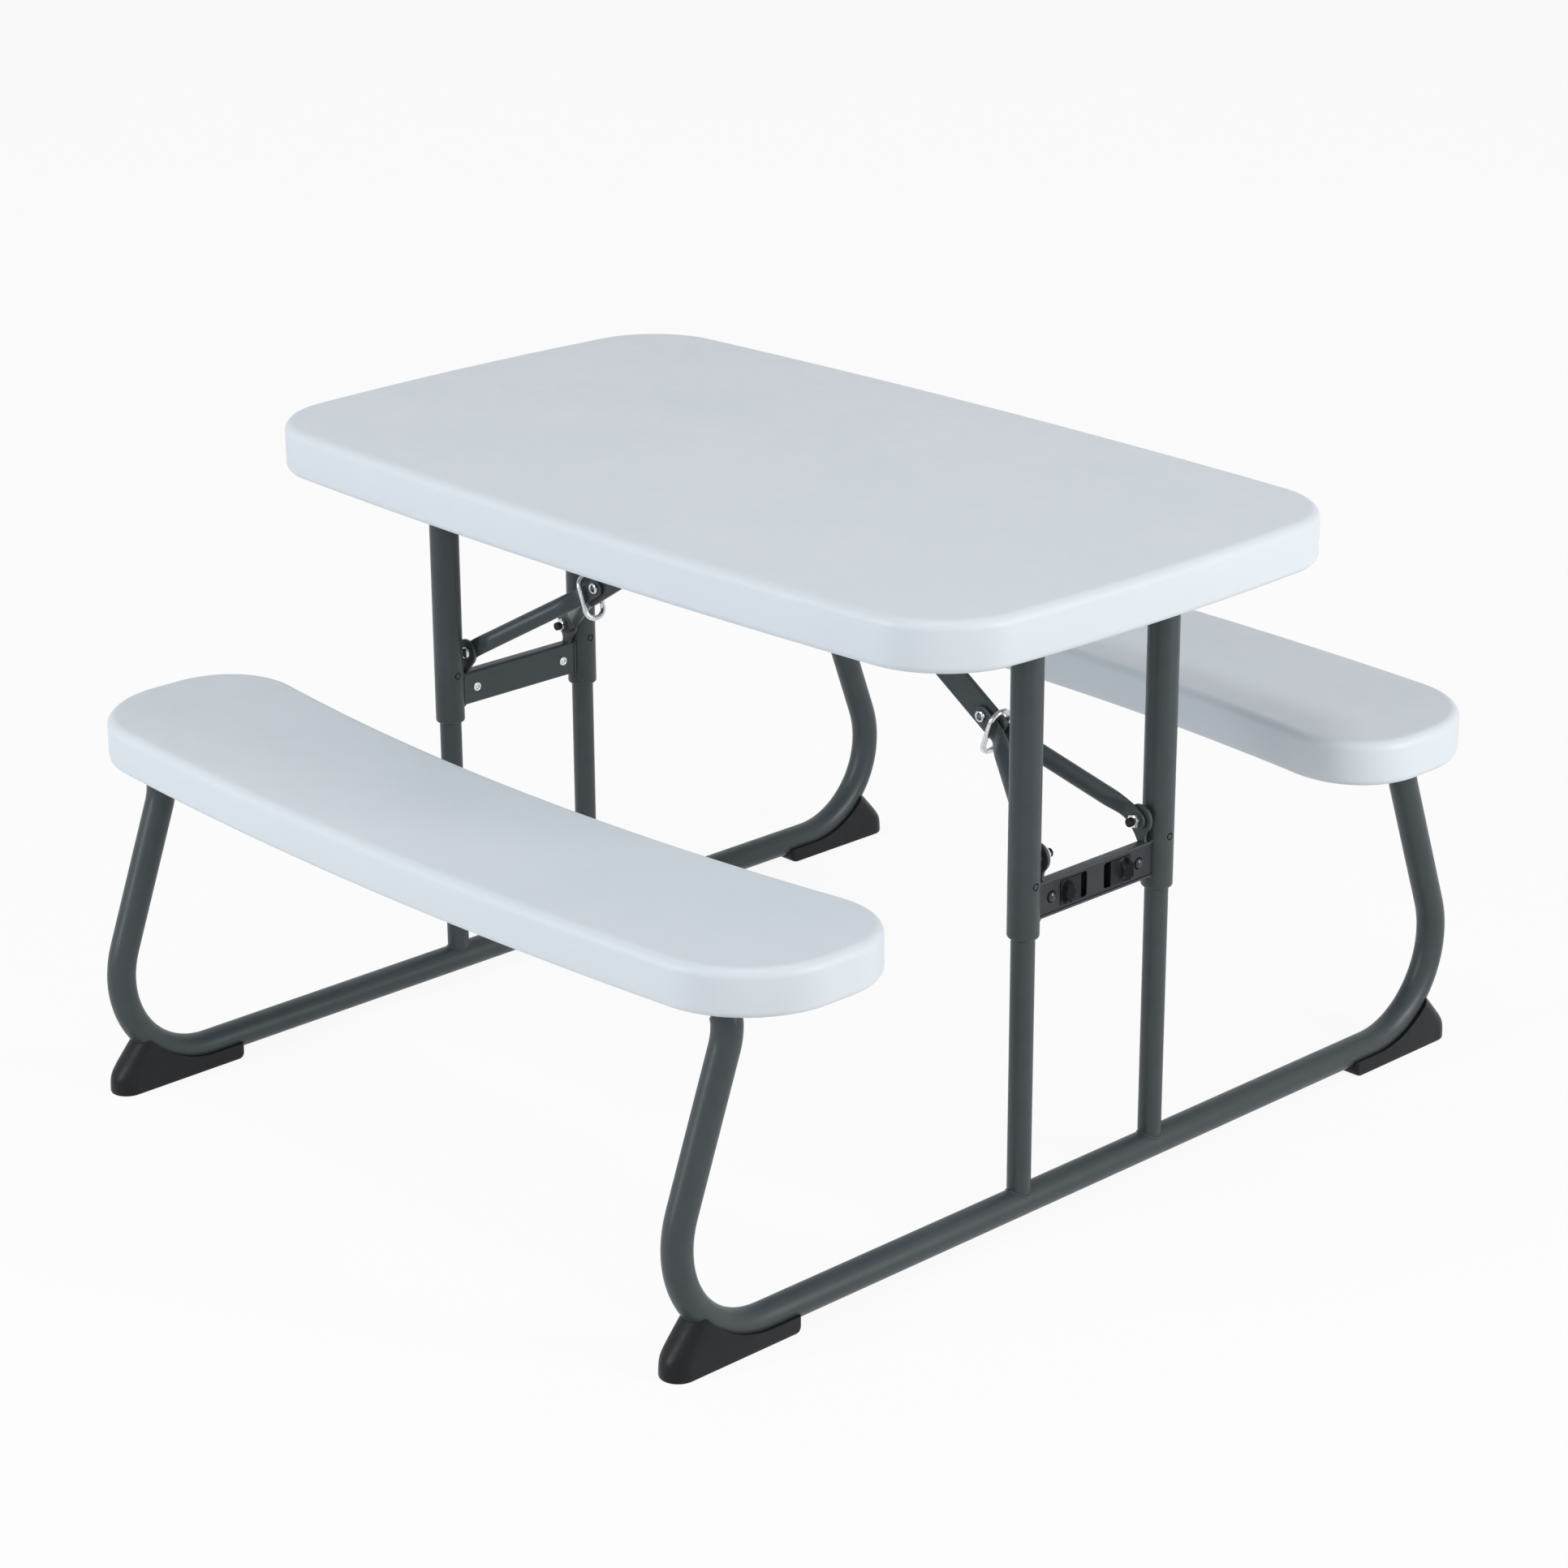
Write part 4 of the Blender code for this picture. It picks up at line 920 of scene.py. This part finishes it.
def brace_arm():
    """A round arm, pressed flat at the knee and at the leg."""
    eye_start = ARM_LENGTH - ARM_EYE_LENGTH
    low, high = -ARM_KNEE_HALF_HEIGHT, ARM_LENGTH + ARM_EYE_HALF_HEIGHT
    sideways = [(low, ARM_INNER_Y), (ARM_PLATE_LENGTH, ARM_INNER_Y),
                (eye_start, ARM_OUTER_Y), (high, ARM_OUTER_Y)]
    count = round((high - low) / ARM_STEP)
    rings = []
    for k in range(count + 1):
        along = mix(low, high, k / count)
        knee = smooth_step(ARM_PLATE_LENGTH, ARM_PLATE_LENGTH + ARM_SHOULDER, along)
        eye = 1 - smooth_step(eye_start - ARM_SHOULDER, eye_start, along)
        share = min(knee, eye)
        plate_height = ARM_KNEE_HALF_HEIGHT if along < ARM_LENGTH / 2 else ARM_EYE_HALF_HEIGHT
        nose = max(1 - (along - low) / ARM_KNEE_HALF_HEIGHT, 1 - (high - along) / ARM_EYE_HALF_HEIGHT, 0)
        plate_height *= math.sqrt(1 - ARM_NOSE * nose ** 2)
        halves = (mix(ARM_PLATE, ARM_RADIUS, share), mix(plate_height, ARM_RADIUS, share),
                  mix(PRESSED, ROUND, share))
        spots = [through(sideways, along + shift * ARM_STEP) for shift in (-2, -1, 0, 1, 2)]
        centre = KNEE + BRACE_LINE * along + ALONG_Y * (sum(spots) / len(spots))
        rings.append(section(centre, ALONG_Y, BRACE_NORMAL, *halves, TUBE_SIDES))
    return combine(loft(rings), knee_hole(), "DIFFERENCE")


def threads(start, stop, radius):
    """Stations of a screw thread, as rings."""
    count = round((stop - start) / THREAD_PITCH * 2)
    depth = THREAD_PITCH * THREAD_DEPTH_SHARE
    return [(mix(start, stop, k / count), radius - k % 2 * depth) for k in range(count + 1)]


def hex_block(centre, axis, start, stop, radius):
    """A nut or a bolt head with chamfered corners."""
    chamfer = radius * HEX_CHAMFER
    rise = chamfer * HEX_CHAMFER_RISE
    return turned(centre, axis, [(start, radius - chamfer), (start + rise, radius),
                                 (stop - rise, radius), (stop, radius - chamfer)], 6)


def brace_bolt():
    """The round head of the bolt outside the crossbar's ear, and its length in the ear."""
    head = [(BOLT_LOW[1], BOLT_RADIUS), (EAR_Y, BOLT_RADIUS), (EAR_Y, BOLT_HEAD_RADIUS)]
    for out, rise in arc((0, 0), 1, *BOLT_DOME, SMALL_ARC_STEPS):
        head.append((mix(EAR_Y, BOLT_HIGH[1], rise), BOLT_HEAD_RADIUS * out))
    return turned(BRACE_PIN, ALONG_Y, head, TUBE_SIDES)


def brace_nut():
    """The hex nut inside the arm, with the bolt's length in the arm."""
    outer = ARM_OUTER_Y - ARM_PLATE
    inner = outer - NUT_HEIGHT
    shaft = turned(BRACE_PIN, ALONG_Y, [(inner, BOLT_RADIUS), (NUT_HIGH[1], BOLT_RADIUS)], BOLT_SIDES)
    return joined(shaft, hex_block(BRACE_PIN, ALONG_Y, inner, outer, NUT_RADIUS))


def bolt_end():
    """The dark threaded end of the bolt that shows inside its nut."""
    stop = ARM_OUTER_Y - ARM_PLATE - NUT_HEIGHT
    stations = [(NUT_LOW[1], BOLT_RADIUS * BOLT_TIP_SHARE)] + threads(NUT_LOW[1], stop, BOLT_CAP_RADIUS)
    return turned(BRACE_PIN, ALONG_Y, stations, BOLT_SIDES)


def bench_bolt():
    """A bench's pivot: a bolt with a round head, and its nut."""
    centre = Vector((PIVOT.x, 0, PIVOT.z))
    low, high = BENCH_BOLT_LOW[1], BENCH_BOLT_HIGH[1]
    shank = [(low + BENCH_BOLT_SEAT, BENCH_BOLT_RADIUS), (high, BENCH_BOLT_RADIUS)]
    head = [(low + d, r) for d, r in BENCH_BOLT_HEAD]
    nut = hex_block(centre, ALONG_Y, high - BENCH_NUT_START, high - BENCH_NUT_STOP, BENCH_NUT_RADIUS)
    return joined(turned(centre, ALONG_Y, shank, BOLT_SIDES), turned(centre, ALONG_Y, head, TUBE_SIDES), nut)


def knee_rivet():
    """A hollow rivet through the link and both arms, rolled over at each end."""
    seat = RIVET_HIGH[1] - KNEE_RIVET_RISE
    half = [(seat + d, r) for d, r in rolled_end(KNEE_RIVET_RADIUS, KNEE_RIVET_RISE, -KNEE_RIVET_HOLLOW)]
    return turned(KNEE, ALONG_Y, [(-d, r) for d, r in reversed(half)] + half, TUBE_SIDES)


def lock_ring():
    """A closed wire ring that hangs on the link and holds the two flattened arm ends to it."""
    lean = math.radians(RING_LEAN)
    down = BRACE_LINE * math.sin(lean) - BRACE_NORMAL * math.cos(lean)
    top = KNEE + BRACE_LINE * RING_OFFSET + BRACE_NORMAL * (LINK_HALF_HEIGHT + RING_WIRE + FIT_GAP)
    bottom = top + down * RING_HEIGHT
    wide = ALONG_Y * RING_HALF_WIDTH
    corners = [bottom - wide, top - wide, top + wide, bottom + wide, bottom - wide, top - wide]
    loop = bent_path(corners, [RING_CORNER] * 4, RING_CORNER_STEPS)[1:-1]
    halves = [(RING_WIRE, RING_WIRE, ROUND)] * len(loop)
    return sweep(loop, down.cross(ALONG_Y), halves, WIRE_SIDES, closed=True)


def hinge_tube():
    """The cross tube that turns under the tabletop, its ends softened."""
    edge = HINGE_EDGE
    stations = [(-HINGE_REACH, HINGE_RADIUS - edge), (-HINGE_REACH + edge, HINGE_RADIUS),
                (HINGE_REACH - edge, HINGE_RADIUS), (HINGE_REACH, HINGE_RADIUS - edge)]
    return turned(HINGE, ALONG_Y, stations, TUBE_SIDES)


def build_object():
    """Every piece of the table, each riding a body of the frame."""
    slab = moulded_slab(tabletop_outline(), TABLE_LOW[2], TABLE_HIGH[2], TABLE_PANEL)
    add_piece("tabletop_moulding", slab, "tabletop")
    bench = moulded_slab(bench_outline(), BENCH_LOW[2], BENCH_HIGH[2], BENCH_PANEL)
    for side_name, side in SIDES.items():
        add_piece("bench_moulding_" + side_name, placed(bench, 1, side), "bench_" + side_name)
    whole = {"hinge_tube": hinge_tube(), "base_tube": tube_shape(), "lock_ring": lock_ring(),
             "knee_rivet": knee_rivet()}
    plates = {"crossbar": crossbar(), "latch_housing": latch_housing(), "brace_link": brace_link()}
    pairs = {"upper_leg": upper_leg(), "lower_leg": lower_leg(), "foot": foot(), "latch_grip": latch_grip(),
             "brace_arm": brace_arm(), "brace_bolt": brace_bolt(), "brace_nut": brace_nut()}
    for end_name, end in ENDS.items():
        for kind, shape in whole.items():
            add_piece(f"{kind}_{end_name}_finish", placed(shape, end), f"{kind}_{end_name}")
        for kind, shape in plates.items():
            node = f"{kind}_{end_name}"
            add_piece(node + "_finish", placed(shape, end), node, edge=EDGE_SOFTNESS)
        bar = "crossbar_" + end_name
        add_piece("bar_welds_" + end_name, placed(bar_welds(), end), bar, stands_for=False)
        add_piece("bar_rivet_heads_" + end_name, placed(bar_rivet_heads(), end), bar, stands_for=False,
                  finish="gloss_coat")
        add_piece("bar_rivet_ends_" + end_name, placed(bar_rivet_ends(), end), bar, "zinc_steel",
                  stands_for=False)
        keep_node("brace_anchor_" + end_name, EDGE_SOFTNESS)
        for side_name, side in SIDES.items():
            spot = f"{end_name}_{side_name}"
            for kind, shape in pairs.items():
                add_piece(f"{kind}_{spot}_finish", placed(shape, end, side), f"{kind}_{spot}")
            add_piece("bench_bolt_" + spot + "_finish", placed(bench_bolt(), end, side), "bench_bolt_" + spot)
            add_piece("bolt_end_" + spot, placed(bolt_end(), end, side), "brace_nut_" + spot, "black_plastic",
                      stands_for=False)
            add_piece("leg_weld_" + spot, placed(leg_weld(), end, side), "lower_leg_" + spot,
                      stands_for=False)
            for kind in ("hinge_saddle_", "bench_bracket_"):
                keep_node(kind + spot, EDGE_SOFTNESS)


def background_share(tree):
    """1 for rays from the camera, mirrors and glass, and 0 for the light itself."""
    path = tree.nodes.new("ShaderNodeLightPath")
    total = path.outputs["Is Camera Ray"]
    for name in ("Is Glossy Ray", "Is Transmission Ray"):
        node = tree.nodes.new("ShaderNodeMath")
        node.operation = "MAXIMUM"
        tree.links.new(total, node.inputs[0])
        tree.links.new(path.outputs[name], node.inputs[1])
        total = node.outputs[0]
    return total


def add_floor():
    """A pale floor that keeps soft shadows."""
    ring = section(Vector((0, 0, 0)), ALONG_X, ALONG_Y, FLOOR_RADIUS, FLOOR_RADIUS, ROUND, FLOOR_SIDES)
    mesh = bpy.data.meshes.new("floor")
    mesh.from_pydata([tuple(p) for p in ring], [], [tuple(range(len(ring)))])
    floor = bpy.data.objects.new("floor", mesh)
    bpy.context.scene.collection.objects.link(floor)
    material = bpy.data.materials.new("pale floor")
    material.use_nodes = True
    tree = material.node_tree
    tree.nodes.clear()
    matte = tree.nodes.new("ShaderNodeBsdfDiffuse")
    matte.inputs["Color"].default_value = (*FLOOR_COLOUR, 1)
    white = tree.nodes.new("ShaderNodeEmission")
    share = tree.nodes.new("ShaderNodeMath")
    share.operation = "MULTIPLY"
    share.inputs[1].default_value = FLOOR_WHITE_SHARE
    tree.links.new(background_share(tree), share.inputs[0])
    blend = tree.nodes.new("ShaderNodeMixShader")
    output = tree.nodes.new("ShaderNodeOutputMaterial")
    tree.links.new(share.outputs[0], blend.inputs[0])
    tree.links.new(matte.outputs[0], blend.inputs[1])
    tree.links.new(white.outputs[0], blend.inputs[2])
    tree.links.new(blend.outputs[0], output.inputs["Surface"])
    mesh.materials.append(material)


def set_world():
    """White where it is seen, and a plain soft light elsewhere."""
    world = bpy.data.worlds.new("studio")
    bpy.context.scene.world = world
    world.use_nodes = True
    tree = world.node_tree
    background = tree.nodes["Background"]
    background.inputs["Color"].default_value = (1, 1, 1, 1)
    level = tree.nodes.new("ShaderNodeMapRange")
    level.inputs["To Min"].default_value = WORLD_LIGHT
    level.inputs["To Max"].default_value = WORLD_WHITE
    tree.links.new(background_share(tree), level.inputs["Value"])
    tree.links.new(level.outputs["Result"], background.inputs["Strength"])


def direction(azimuth, elevation):
    """From the object towards a place round it; azimuth 0 is -Y and 90 is +X."""
    a, e = math.radians(azimuth), math.radians(elevation)
    return Vector((math.sin(a) * math.cos(e), -math.cos(a) * math.cos(e), math.sin(e)))


def add_lamps():
    """Soft area lamps round the object."""
    for name, (azimuth, elevation, distance, width, height, power, colour) in LAMPS.items():
        light = bpy.data.lights.new(name, "AREA")
        light.shape = "RECTANGLE"
        light.size = width
        light.size_y = height
        light.energy = power
        light.color = colour
        lamp = bpy.data.objects.new(name, light)
        away = direction(azimuth, elevation)
        lamp.location = CAMERA_TARGET + away * distance
        lamp.rotation_euler = away.to_track_quat("Z", "Y").to_euler()
        bpy.context.scene.collection.objects.link(lamp)


def add_camera():
    """A camera in the place that was found from the photograph."""
    back = direction(CAMERA_AZIMUTH, CAMERA_ELEVATION)
    turn = math.radians(CAMERA_ROLL)
    level = UP.cross(back).normalized()
    rise = back.cross(level)
    right = level * math.cos(turn) + rise * math.sin(turn)
    up = rise * math.cos(turn) - level * math.sin(turn)
    camera = bpy.data.cameras.new("camera")
    camera.sensor_width = SENSOR_WIDTH
    camera.lens = SENSOR_WIDTH * CAMERA_FOCAL_SHARE
    holder = bpy.data.objects.new("camera", camera)
    holder.matrix_world = Matrix((right, up, back)).transposed().to_4x4()
    holder.location = CAMERA_TARGET + back * CAMERA_DISTANCE + up * CAMERA_RISE
    bpy.context.scene.collection.objects.link(holder)
    bpy.context.scene.camera = holder


build_object()
add_floor()
set_world()
add_lamps()
add_camera()
bpy.context.scene.view_settings.view_transform = "Standard"
